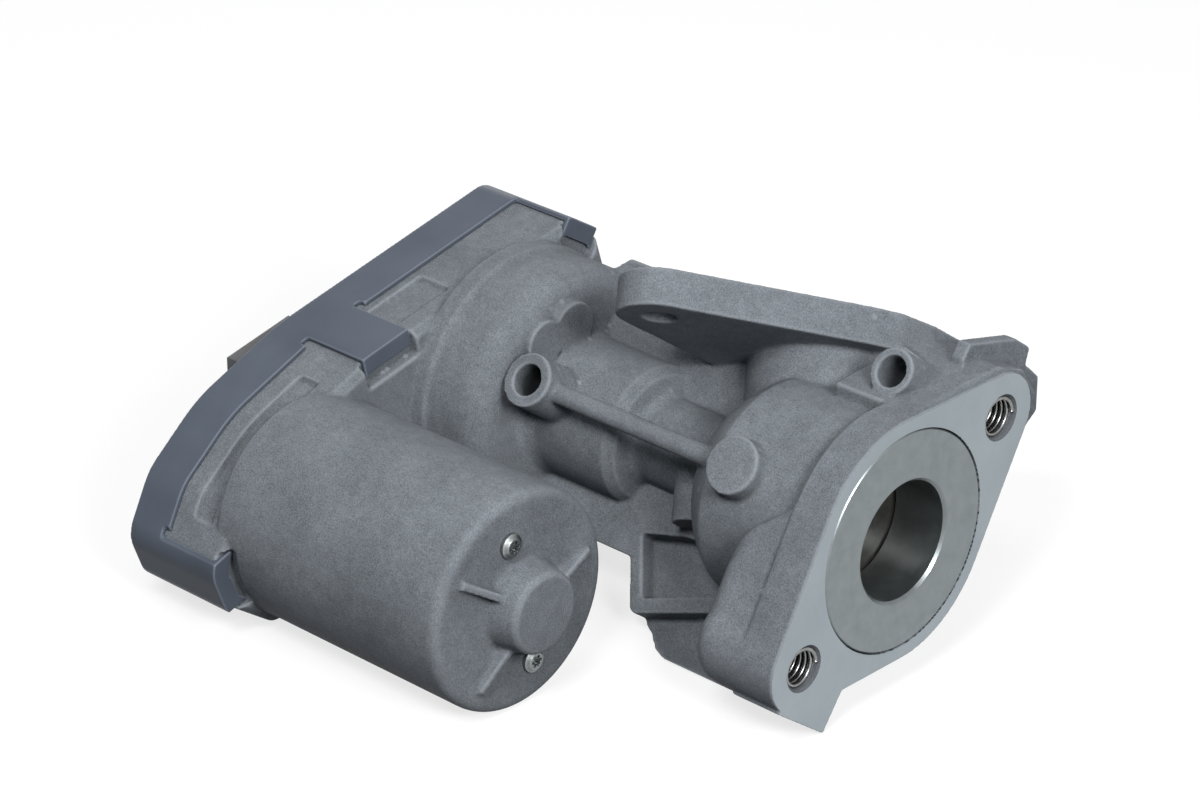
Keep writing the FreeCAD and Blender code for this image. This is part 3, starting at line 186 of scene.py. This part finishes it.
# Point that every lamp is turned to
LAMP_TARGET = (-0.07, -0.01, 0.0)


# Helpers that add nodes to a tree
def new_material(name):
    material = bpy.data.materials.new(name)
    material.use_nodes = True
    tree = material.node_tree
    tree.nodes.clear()
    return material, tree


def add(tree, kind, **values):
    node = tree.nodes.new(kind)
    for key, value in values.items():
        if key in node.inputs:
            node.inputs[key].default_value = value
        else:
            setattr(node, key, value)
    return node


def object_coords(tree):
    return tree.nodes.new("ShaderNodeTexCoord").outputs["Object"]


def noise(tree, coords, scale, detail, rough):
    node = add(tree, "ShaderNodeTexNoise", Scale=scale, Detail=detail, Roughness=rough)
    tree.links.new(coords, node.inputs["Vector"])
    return node.outputs["Fac"]


def ramp(tree, value, span, result=(0.0, 1.0)):
    node = tree.nodes.new("ShaderNodeMapRange")
    node.inputs["From Min"].default_value, node.inputs["From Max"].default_value = span
    node.inputs["To Min"].default_value, node.inputs["To Max"].default_value = result
    tree.links.new(value, node.inputs["Value"])
    return node.outputs["Result"]


def math_node(tree, operation, a, b):
    node = add(tree, "ShaderNodeMath", operation=operation)
    for place, value in enumerate((a, b)):
        if isinstance(value, (int, float)):
            node.inputs[place].default_value = value
        else:
            tree.links.new(value, node.inputs[place])
    return node.outputs[0]


def vector_node(tree, operation, vector, constant=None):
    node = add(tree, "ShaderNodeVectorMath", operation=operation)
    tree.links.new(vector, node.inputs[0])
    if constant is not None:
        node.inputs[1].default_value = constant
    return node.outputs["Value" if operation in ("LENGTH", "DOT_PRODUCT") else "Vector"]


def blend_colour(tree, fac, a, b, kind="MIX"):
    node = add(tree, "ShaderNodeMix", data_type="RGBA", blend_type=kind)
    if isinstance(fac, (int, float)):
        node.inputs[0].default_value = fac
    else:
        tree.links.new(fac, node.inputs[0])
    for place, value in ((6, a), (7, b)):
        if isinstance(value, tuple):
            node.inputs[place].default_value = (*value, 1.0)
        else:
            tree.links.new(value, node.inputs[place])
    return node.outputs[2]


def patchy(tree, patches, dark, light):
    return blend_colour(tree, ramp(tree, patches, PATCH_SPAN), dark, light)


def shaded(tree, colour, factor):
    # The colour times a grey factor
    grey = tree.nodes.new("ShaderNodeCombineColor")
    for channel in range(3):
        tree.links.new(factor, grey.inputs[channel])
    return blend_colour(tree, 1.0, colour, grey.outputs[0], "MULTIPLY")


def rounded_edges(tree, radius):
    node = add(tree, "ShaderNodeBevel", samples=4, Radius=radius)
    return node.outputs[0]


def bump(tree, height, strength, distance, normal=None):
    node = add(tree, "ShaderNodeBump", Strength=strength, Distance=distance)
    tree.links.new(height, node.inputs["Height"])
    if normal is not None:
        tree.links.new(normal, node.inputs["Normal"])
    return node.outputs["Normal"]


def finish_material(tree, colour, rough, normal, metallic, specular=None):
    shader = tree.nodes.new("ShaderNodeBsdfPrincipled")
    output = tree.nodes.new("ShaderNodeOutputMaterial")
    tree.links.new(colour, shader.inputs["Base Color"])
    tree.links.new(rough, shader.inputs["Roughness"])
    tree.links.new(normal, shader.inputs["Normal"])
    if isinstance(metallic, (int, float)):
        shader.inputs["Metallic"].default_value = metallic
    else:
        tree.links.new(metallic, shader.inputs["Metallic"])
    if specular is not None:
        shader.inputs["Specular IOR Level"].default_value = specular
    tree.links.new(shader.outputs[0], output.inputs["Surface"])


def background_rays(tree):
    # 1 for rays that show the background: from the camera, through glass and mirrored in gloss
    path = tree.nodes.new("ShaderNodeLightPath")
    seen = math_node(tree, "MAXIMUM", path.outputs["Is Camera Ray"], path.outputs["Is Transmission Ray"])
    return math_node(tree, "MAXIMUM", seen, path.outputs["Is Glossy Ray"])


def mix_shaders(tree, share, first, second, output):
    mixed = tree.nodes.new("ShaderNodeMixShader")
    tree.links.new(share, mixed.inputs[0])
    tree.links.new(first.outputs[0], mixed.inputs[1])
    tree.links.new(second.outputs[0], mixed.inputs[2])
    tree.links.new(mixed.outputs[0], tree.nodes.new(output).inputs["Surface"])


# Materials
def surface(name, dark, light, rough, metallic, grain=2500.0, grain_depth=0.00003, patch=220.0, wear=0.0,
            rounded=0.0003):
    # General finish: patches of colour, fine grain in colour, bump and roughness, and lighter worn edges
    material, tree = new_material(name)
    coords = object_coords(tree)
    patches = noise(tree, coords, scale=patch, detail=4.0, rough=0.6)
    fine = noise(tree, coords, scale=grain, detail=3.0, rough=0.6)
    colour = shaded(tree, patchy(tree, patches, dark, light), ramp(tree, fine, (0.3, 0.75), (0.82, 1.12)))
    if wear:
        geometry = tree.nodes.new("ShaderNodeNewGeometry")
        edge = ramp(tree, geometry.outputs["Pointiness"], WORN_EDGE_SPAN)
        edge = math_node(tree, "MULTIPLY", edge, ramp(tree, patches, (0.35, 0.6), (0.4, 1.0)))
        edge = math_node(tree, "MULTIPLY", edge, wear)
        worn = tuple(min(1.0, channel * 1.9 + 0.05) for channel in light)
        colour = blend_colour(tree, edge, colour, worn)
    roughness = ramp(tree, fine, GRAIN_SPAN, (rough - 0.06, rough + 0.06))
    normal = rounded_edges(tree, rounded) if rounded else None
    normal = bump(tree, fine, strength=0.6, distance=grain_depth, normal=normal)
    finish_material(tree, colour, roughness, normal, metallic)
    return material


def turned(name, dark, light, rough, metallic, bore=0.0, rounded=0.0002):
    # Turned metal: fine circles round the X direction, light mottling, and painted shade on the inside within
    # the bore
    groove = 0.000012
    material, tree = new_material(name)
    coords = object_coords(tree)
    wave = add(tree, "ShaderNodeTexWave", wave_type="RINGS", rings_direction="X", Scale=2400.0,
               Distortion=1.5, Detail=3.0)
    wave.inputs["Detail Scale"].default_value = 0.3
    tree.links.new(coords, wave.inputs["Vector"])
    circles = wave.outputs["Fac"]
    patches = noise(tree, coords, scale=260.0, detail=5.0, rough=0.65)
    fine = noise(tree, coords, scale=3000.0, detail=3.0, rough=0.6)
    colour = shaded(tree, patchy(tree, patches, dark, light), ramp(tree, circles, (0.0, 1.0), (0.9, 1.06)))
    if bore:
        across = vector_node(tree, "MULTIPLY", coords, (0.0, 1.0, 1.0))
        away = vector_node(tree, "LENGTH", across)
        # Painted shade on the inside of the bore
        inside = ramp(tree, away, (bore, bore + BORE_FADE), (BORE_SHADE, 0.0))
        colour = blend_colour(tree, inside, colour, BORE_SHADE_COLOUR)
    roughness = ramp(tree, patches, PATCH_SPAN, (rough - 0.05, rough + 0.07))
    normal = bump(tree, circles, strength=0.3, distance=groove, normal=rounded_edges(tree, rounded))
    normal = bump(tree, fine, strength=0.08, distance=groove, normal=normal)
    finish_material(tree, colour, roughness, normal, metallic)
    return material


def boss_shade(tree, coords, spot, hole_r, shade):
    # Share of painted shade inside one boss hole, which grows with depth
    apart = vector_node(tree, "SUBTRACT", coords, spot)
    away = vector_node(tree, "LENGTH", vector_node(tree, "CROSS_PRODUCT", apart, BOSS_AXIS))
    along = vector_node(tree, "DOT_PRODUCT", apart, BOSS_AXIS)
    wall = tuple(hole_r + beyond for beyond in BOSS_WALL_SPAN)
    inside = ramp(tree, away, wall, (1.0, 0.0))
    inside = math_node(tree, "MULTIPLY", inside, ramp(tree, along, BOSS_SHADE_SPAN, (0.0, shade)))
    return math_node(tree, "MULTIPLY", inside, ramp(tree, along, BOSS_END_SPAN))


def cast_material():
    # Blasted cast aluminium, with the milled flange face as a smoother, lighter area
    material, tree = new_material("cast_alloy")
    coords = object_coords(tree)
    geometry = tree.nodes.new("ShaderNodeNewGeometry")
    pointiness = geometry.outputs["Pointiness"]
    place = tree.nodes.new("ShaderNodeSeparateXYZ")
    tree.links.new(coords, place.inputs[0])
    facing = tree.nodes.new("ShaderNodeSeparateXYZ")
    tree.links.new(geometry.outputs["Normal"], facing.inputs[0])
    milled = math_node(tree, "MULTIPLY", ramp(tree, place.outputs[0], MILLED_X_SPAN),
                       ramp(tree, facing.outputs[0], MILLED_FACING_SPAN))
    patches = noise(tree, coords, scale=60.0, detail=5.0, rough=0.6)
    blotches = noise(tree, coords, scale=420.0, detail=4.0, rough=0.6)
    grain = noise(tree, coords, scale=3100.0, detail=3.0, rough=0.7)
    speck = ramp(tree, grain, (0.38, 0.62), (0.74, 1.28))
    mottle = math_node(tree, "MULTIPLY", speck, ramp(tree, blotches, (0.36, 0.64), (0.93, 1.07)))
    cast = shaded(tree, patchy(tree, patches, CAST_DARK, CAST_LIGHT), mottle)
    # Painted highlight on the edges and painted shade in the hollows, both by Pointiness
    cast = blend_colour(tree, ramp(tree, pointiness, CAST_HIGHLIGHT_SPAN, (0.0, 0.55)), cast, CAST_EDGE_HIGHLIGHT)
    cast = blend_colour(tree, ramp(tree, pointiness, CAST_SHADE_SPAN, (0.55, 0.0)), cast, CAST_HOLLOW_SHADE)
    # Painted shade inside the two boss holes
    for boss in BOSSES:
        cast = blend_colour(tree, boss_shade(tree, coords, *boss), cast, HOLE_SHADE)
    colour = blend_colour(tree, milled, cast, patchy(tree, patches, FACE_DARK, FACE_LIGHT))
    roughness = tree.nodes.new("ShaderNodeMix")
    tree.links.new(milled, roughness.inputs[0])
    tree.links.new(ramp(tree, grain, GRAIN_SPAN, (0.46, 0.62)), roughness.inputs[2])
    tree.links.new(ramp(tree, blotches, PATCH_SPAN, (0.30, 0.42)), roughness.inputs[3])
    dents = add(tree, "ShaderNodeTexVoronoi", Scale=330.0)
    tree.links.new(coords, dents.inputs["Vector"])
    dent = ramp(tree, dents.outputs["Distance"], (0.05, 0.16))
    grain_height = math_node(tree, "MULTIPLY", grain, ramp(tree, milled, (0.0, 1.0), (1.0, 0.10)))
    normal = bump(tree, grain_height, strength=1.0, distance=0.00019)
    normal = bump(tree, blotches, strength=0.35, distance=0.00006, normal=normal)
    normal = bump(tree, dent, strength=0.12, distance=0.00004, normal=normal)
    metallic = ramp(tree, milled, (0.0, 1.0), (0.02, 0.75))
    finish_material(tree, colour, roughness.outputs[0], normal, metallic, specular=0.02)
    return material


def band_material():
    # Pressed steel strip: smooth, bluish dark grey, with a painted highlight on its rounded edge
    material, tree = new_material("band_steel")
    coords = object_coords(tree)
    geometry = tree.nodes.new("ShaderNodeNewGeometry")
    patches = noise(tree, coords, scale=55.0, detail=3.0, rough=0.5)
    fine = noise(tree, coords, scale=1500.0, detail=3.0, rough=0.6)
    colour = patchy(tree, patches, BAND_DARK, BAND_LIGHT)
    # Painted highlight on the rounded edges, by Pointiness
    edge = ramp(tree, geometry.outputs["Pointiness"], BAND_HIGHLIGHT_SPAN, (0.0, 0.75))
    colour = blend_colour(tree, edge, colour, BAND_EDGE_HIGHLIGHT)
    roughness = ramp(tree, patches, PATCH_SPAN, (0.30, 0.38))
    normal = bump(tree, fine, strength=0.25, distance=0.00001)
    finish_material(tree, colour, roughness, normal, metallic=0.02, specular=0.04)
    return material


# Casting and clamp band: the solids remeshed and relaxed, so that their corners get small fillets
def relax(mesh, passes):
    count = len(mesh.vertices)
    points = np.empty(count * 3)
    mesh.vertices.foreach_get("co", points)
    points = points.reshape(-1, 3)
    edges = np.empty(len(mesh.edges) * 2, np.int64)
    mesh.edges.foreach_get("vertices", edges)
    edges = edges.reshape(-1, 2)
    ends = np.concatenate((edges[:, 0], edges[:, 1]))
    others = np.concatenate((edges[:, 1], edges[:, 0]))
    degree = np.maximum(np.bincount(ends, minlength=count), 1)
    for laps, weights in passes:
        share = weights(points)
        moving = share > 0.0
        used = moving[ends]
        near_ends, near_others = ends[used], others[used]
        part = (share[moving] * RELAX_STEP)[:, None]
        for _ in range(laps):
            sums = [np.bincount(near_ends, points[near_others, axis], count) for axis in range(3)]
            mean = np.stack([total[moving] / degree[moving] for total in sums], 1)
            points[moving] += part * (mean - points[moving])
    return points


def distance_from(points, centre):
    # Distance of each point from a line in the X direction
    return np.hypot(points[:, 1] - centre[0], points[:, 2] - centre[1])


def even_share(points):
    return np.ones(len(points))


def smooth_share(points):
    # Machined places keep their crisp edges: the flange face, the bolt holes, the bosses and the seat
    x = points[:, 0]
    share = np.clip((-FACE_SKIN - x) / FACE_FADE, CRISP_SHARE, 1.0)
    share = np.where(x < CASE_X, CASE_SHARE, share)
    for bolt in bolts:
        share = np.where((distance_from(points, bolt) < BOLT_ZONE_R) & (x > BOLT_ZONE_X), CRISP_SHARE, share)
    axis = np.array(BOSS_AXIS)
    for spot, _, _ in BOSSES:
        apart = points - np.array(spot)
        along = apart @ axis
        away = np.linalg.norm(apart - along[:, None] * axis, axis=1)
        for reach, depth, zone_share in BOSS_ZONES:
            share = np.where((away < reach) & (along > depth), zone_share, share)
    in_seat = (distance_from(points, (0.0, 0.0)) < SEAT_ZONE_R) & (x > SEAT_ZONE_X)
    return np.where(in_seat, np.minimum(share, SEAT_SHARE), share)


def flank_share(points):
    # The flank behind the lower bolt runs softly into the chamber, along one slanting plane
    x = points[:, 0]
    along = points[:, 1:] @ np.array(FLANK_DIRECTION)
    away = (along - FLANK_START[0]) * FLANK_FALL[1] + (x - FLANK_START[1]) * FLANK_FALL[0]
    away = abs(away / math.hypot(*FLANK_FALL))
    share = np.clip((FLANK_REACH - away) / FLANK_FADE, 0.0, 1.0)
    share *= np.clip((FLANK_FRONT_X - x) / FLANK_FRONT_FADE, 0.0, 1.0)
    share *= np.clip((x - FLANK_BACK_X) / FLANK_BACK_FADE, 0.0, 1.0)
    share[distance_from(points, (0.0, 0.0)) < FLANK_CLEAR_R] = 0.0
    return share


def snap_round(places, centre, radius, inner, outer, back):
    # Points between two radii and in front of back go onto one circle round the X direction
    around = places[:, 1:] - np.array(centre)
    away = np.linalg.norm(around, axis=1)
    near = (away > inner) & (away < outer) & (places[:, 0] > back)
    places[near, 1:] = np.array(centre) + around[near] * (radius / away[near])[:, None]


def add_piece(name, mesh, node=None):
    piece = bpy.data.objects.new(name, mesh)
    scene.collection.objects.link(piece)
    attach(piece, "housing")
    if node:
        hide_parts(node)


def remeshed(name, node, voxel, passes, material, round_edges=()):
    work = bpy.data.objects.new("work", nodes[node].data.copy())
    scene.collection.objects.link(work)
    voxels = work.modifiers.new("voxels", "REMESH")
    voxels.mode = "VOXEL"
    voxels.voxel_size = voxel * 1.0
    graph = bpy.context.evaluated_depsgraph_get()
    mesh = bpy.data.meshes.new_from_object(work.evaluated_get(graph))
    bpy.data.objects.remove(work)
    mesh.name = name
    places = relax(mesh, passes)
    for edge in round_edges:
        snap_round(places, *edge)
    low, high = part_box(node)
    if high[0] == 0.0:
        places[:, 0] = np.where(places[:, 0] > -FACE_SNAP, 0.0, places[:, 0])
    mesh.vertices.foreach_set("co", np.clip(places, np.array(low), np.array(high)).reshape(-1))
    mesh.update()
    mesh.polygons.foreach_set("use_smooth", np.ones(len(mesh.polygons), bool))
    mesh.materials.clear()
    mesh.materials.append(material)
    add_piece(name, mesh, node)


def insert_centre(node):
    low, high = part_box(node)
    return (low[1] + high[1]) / 2.0, (low[2] + high[2]) / 2.0


bolts = [insert_centre("thread_insert_%d" % side) for side in (1, 2)]
recess_edge = ((0.0, 0.0), RECESS_R, RECESS_R - SNAP_REACH, RECESS_R + SNAP_REACH, -RECESS_DEPTH)
bolt_edges = [(bolt, RIM_R, 0.5 * RIM_R, RIM_R, -RIM_DEPTH) for bolt in bolts]
cast_alloy = cast_material()
remeshed("casting_surface", "valve_body", CAST_VOXEL, ((EVEN_LAPS, smooth_share), (FLANK_LAPS, flank_share)),
         cast_alloy, [recess_edge, *bolt_edges])
remeshed("band_surface", "clamp_band", BAND_VOXEL, ((EVEN_LAPS, even_share),), band_material())


# Turned mouths of the two bolt holes: a countersink and the wall behind the wire
def hole_rim(name, centre):
    behind = -RIM_DEPTH - RIM_OVERLAP
    outline = [(0.0, RIM_R), (-CHAMFER_DEPTH, HOLE_R), (-HOLE_DEPTH, HOLE_R), (-HOLE_DEPTH, RIM_R + RIM_WALL),
               (behind, RIM_R + RIM_WALL), (behind, RIM_R)]
    points = []
    for i in range(RIM_SIDES):
        angle = 2.0 * math.pi * i / RIM_SIDES
        points += [(along, centre[0] + radius * math.cos(angle), centre[1] + radius * math.sin(angle))
                   for along, radius in outline]
    count = len(outline)
    faces = []
    for i in range(RIM_SIDES):
        here, there = i * count, (i + 1) % RIM_SIDES * count
        for j in range(count):
            k = (j + 1) % count
            faces.append((here + j, here + k, there + k, there + j))
    mesh = bpy.data.meshes.new(name)
    mesh.from_pydata(points, [], faces)
    mesh.update()
    mesh.materials.append(cast_alloy)
    add_piece(name, mesh)


for side, bolt in enumerate(bolts, 1):
    hole_rim("bolt_hole_rim_%d" % side, bolt)


# Wire coils of the two thread inserts
def wire_coil(name, node, centre, material):
    low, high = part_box(node)
    mean = (high[1] - low[1]) / 2.0 - WIRE_R
    front = high[0] - WIRE_R
    turns = (front - low[0] - WIRE_R) / WIRE_PITCH
    steps = int(turns * WIRE_STEPS)
    points = []
    for i in range(steps + 1):
        angle = 2.0 * math.pi * turns * i / steps
        along = front - WIRE_PITCH * turns * i / steps
        for j in range(WIRE_SIDES):
            around = 2.0 * math.pi * j / WIRE_SIDES
            radius = mean - WIRE_R * math.cos(around)
            points.append((along + WIRE_R * WIRE_FLATNESS * math.sin(around),
                           centre[0] + radius * math.cos(angle), centre[1] + radius * math.sin(angle)))
    faces = []
    for i in range(steps):
        here, there = i * WIRE_SIDES, (i + 1) * WIRE_SIDES
        for j in range(WIRE_SIDES):
            k = (j + 1) % WIRE_SIDES
            faces.append((here + j, here + k, there + k, there + j))
    faces.append(tuple(range(WIRE_SIDES)))
    faces.append(tuple(steps * WIRE_SIDES + j for j in reversed(range(WIRE_SIDES))))
    mesh = bpy.data.meshes.new(name)
    mesh.from_pydata(points, [], faces)
    mesh.update()
    mesh.polygons.foreach_set("use_smooth", np.ones(len(mesh.polygons), bool))
    mesh.materials.append(material)
    add_piece(name, mesh, node)


coil_steel = surface("insert_steel", (0.20, 0.20, 0.20), (0.32, 0.32, 0.315), 0.30, 1.0, patch=500.0,
                     rounded=0.0)
for side, bolt in enumerate(bolts, 1):
    wire_coil("insert_coil_%d" % side, "thread_insert_%d" % side, bolt, coil_steel)

# Finishes of the solids that stay: those of one solid by its name, then those that several solids share
finishes = {
    "seat_ring": turned("ring_steel", (0.185, 0.210, 0.218), (0.235, 0.260, 0.268), 0.34, 0.95, bore=BORE_R,
                        rounded=0.0001),
    "valve_disc": turned("valve_steel", (0.075, 0.072, 0.068), (0.13, 0.122, 0.112), 0.38, 0.9),
    "valve_stem": turned("stem_steel", (0.36, 0.36, 0.35), (0.48, 0.48, 0.47), 0.22, 1.0),
    "stem_bush": turned("bush_metal", (0.30, 0.27, 0.21), (0.40, 0.36, 0.28), 0.38, 1.0),
    "stem_seal": surface("seal_rubber", (0.012, 0.012, 0.013), (0.022, 0.022, 0.024), 0.62, 0.0),
    "guide_sleeve": surface("guide_plastic", (0.05, 0.05, 0.052), (0.07, 0.07, 0.073), 0.48, 0.0),
    "stem_crosshead": surface("crosshead_steel", (0.32, 0.32, 0.32), (0.44, 0.44, 0.43), 0.34, 1.0, wear=0.4),
    "cam_drum": surface("drum_plastic", (0.035, 0.036, 0.04), (0.055, 0.056, 0.06), 0.42, 0.0, grain=1800.0),
    "gear_cover": surface("cover_plastic", (0.020, 0.021, 0.023), (0.032, 0.033, 0.036), 0.46, 0.0,
                          grain=1500.0, grain_depth=0.00004, rounded=0.0006),
    "cover_gasket": surface("gasket_rubber", (0.010, 0.010, 0.011), (0.02, 0.02, 0.021), 0.66, 0.0),
    "sensor_board": surface("board_green", (0.010, 0.09, 0.035), (0.02, 0.13, 0.05), 0.40, 0.0, patch=900.0),
    "sensor_magnet": surface("magnet_dark", (0.09, 0.09, 0.095), (0.13, 0.13, 0.135), 0.38, 0.6),
    "armature_core": surface("core_steel", (0.22, 0.22, 0.23), (0.30, 0.30, 0.31), 0.38, 1.0, wear=0.3),
    "armature_winding": surface("copper", (0.42, 0.16, 0.06), (0.62, 0.26, 0.11), 0.30, 1.0, grain=2600.0),
    "commutator": surface("copper_bars", (0.45, 0.20, 0.09), (0.60, 0.29, 0.14), 0.28, 1.0),
}
pin = surface("pin_steel", (0.38, 0.38, 0.38), (0.52, 0.52, 0.51), 0.24, 1.0, wear=0.3)
gear = surface("gear_plastic", (0.55, 0.52, 0.43), (0.66, 0.63, 0.54), 0.42, 0.0, grain=1800.0)
spring = surface("spring_steel", (0.16, 0.16, 0.17), (0.26, 0.26, 0.27), 0.30, 1.0)
motor_steel = surface("motor_steel", (0.34, 0.34, 0.33), (0.44, 0.44, 0.43), 0.32, 1.0, wear=0.3)
magnet = surface("magnet_grey", (0.06, 0.06, 0.065), (0.09, 0.09, 0.095), 0.52, 0.3)
carbon = surface("carbon", (0.012, 0.012, 0.012), (0.022, 0.022, 0.022), 0.55, 0.0)
zinc = surface("screw_zinc", (0.15, 0.16, 0.165), (0.22, 0.235, 0.235), 0.40, 1.0, grain=1500.0, wear=0.5,
               rounded=0.00012)
tin = surface("contact_tin", (0.50, 0.48, 0.42), (0.66, 0.64, 0.58), 0.26, 1.0)
shared = {
    "cross_pin": pin, "cam_follower": pin, "drum_bearing": pin, "pivot_pin": pin, "intermediate_axle": pin,
    "motor_shaft": pin, "motor_bearing": motor_steel, "drive_gear": gear, "intermediate_gear": gear,
    "motor_pinion": gear, "return_spring": spring, "motor_yoke": motor_steel, "motor_magnet": magnet,
    "brush_plate": carbon, "motor_brush": carbon, "motor_terminal": tin, "connector_contact": tin,
    "motor_screw": zinc,
}
for name, node in nodes.items():
    material = finishes.get(name)
    for start, value in shared.items():
        if name.startswith(start):
            material = value
    if material is None:
        continue
    if not node.material_slots:
        node.data.materials.append(material)
    for place in node.material_slots:
        place.material = material

# Floor: white to the rays that show the background, and dark to those that would light the part from below
floor_mesh = bpy.data.meshes.new("floor")
corners = [(x * FLOOR_HALF, y * FLOOR_HALF, FLOOR_Z) for x, y in ((-1, -1), (1, -1), (1, 1), (-1, 1))]
floor_mesh.from_pydata(corners, [], [(0, 1, 2, 3)])
floor = bpy.data.objects.new("floor", floor_mesh)
scene.collection.objects.link(floor)
material, tree = new_material("floor_white")
seen = background_rays(tree)
matte = tree.nodes.new("ShaderNodeBsdfDiffuse")
tree.links.new(blend_colour(tree, seen, FLOOR_DARK, FLOOR_SEEN), matte.inputs["Color"])
glow = add(tree, "ShaderNodeEmission", Color=(1.0, 1.0, 1.0, 1.0), Strength=1.0)
mix_shaders(tree, math_node(tree, "MULTIPLY", seen, FLOOR_GLOW), matte, glow, "ShaderNodeOutputMaterial")
floor_mesh.materials.append(material)

# Surroundings: white behind the part, and a weak even light on it
world = bpy.data.worlds.new("studio")
scene.world = world
world.use_nodes = True
tree = world.node_tree
tree.nodes.clear()
around = add(tree, "ShaderNodeBackground", Color=(0.96, 0.98, 1.0, 1.0), Strength=WORLD_LIGHT)
white = add(tree, "ShaderNodeBackground", Color=(1.0, 1.0, 1.0, 1.0), Strength=1.0)
mix_shaders(tree, background_rays(tree), around, white, "ShaderNodeOutputWorld")


# Soft lamps, all turned to one point
def lamp(name, place, size, energy):
    data = bpy.data.lights.new(name, "AREA")
    data.shape = "RECTANGLE"
    data.size, data.size_y = size
    data.energy = energy
    lamp_object = bpy.data.objects.new(name, data)
    scene.collection.objects.link(lamp_object)
    lamp_object.location = place
    lamp_object.rotation_euler = (Vector(LAMP_TARGET) - Vector(place)).to_track_quat("-Z", "Y").to_euler()


lamp("overhead", (-0.05, 0.05, 0.95), (0.7, 0.5), 3.2)
lamp("front", (0.30, -0.80, 0.92), (0.30, 0.30), 12.0)
lamp("right_front", (0.88, -0.40, 0.62), (0.34, 0.34), 15.0)
lamp("back", (-0.90, 0.50, 0.25), (0.6, 0.6), 2.5)
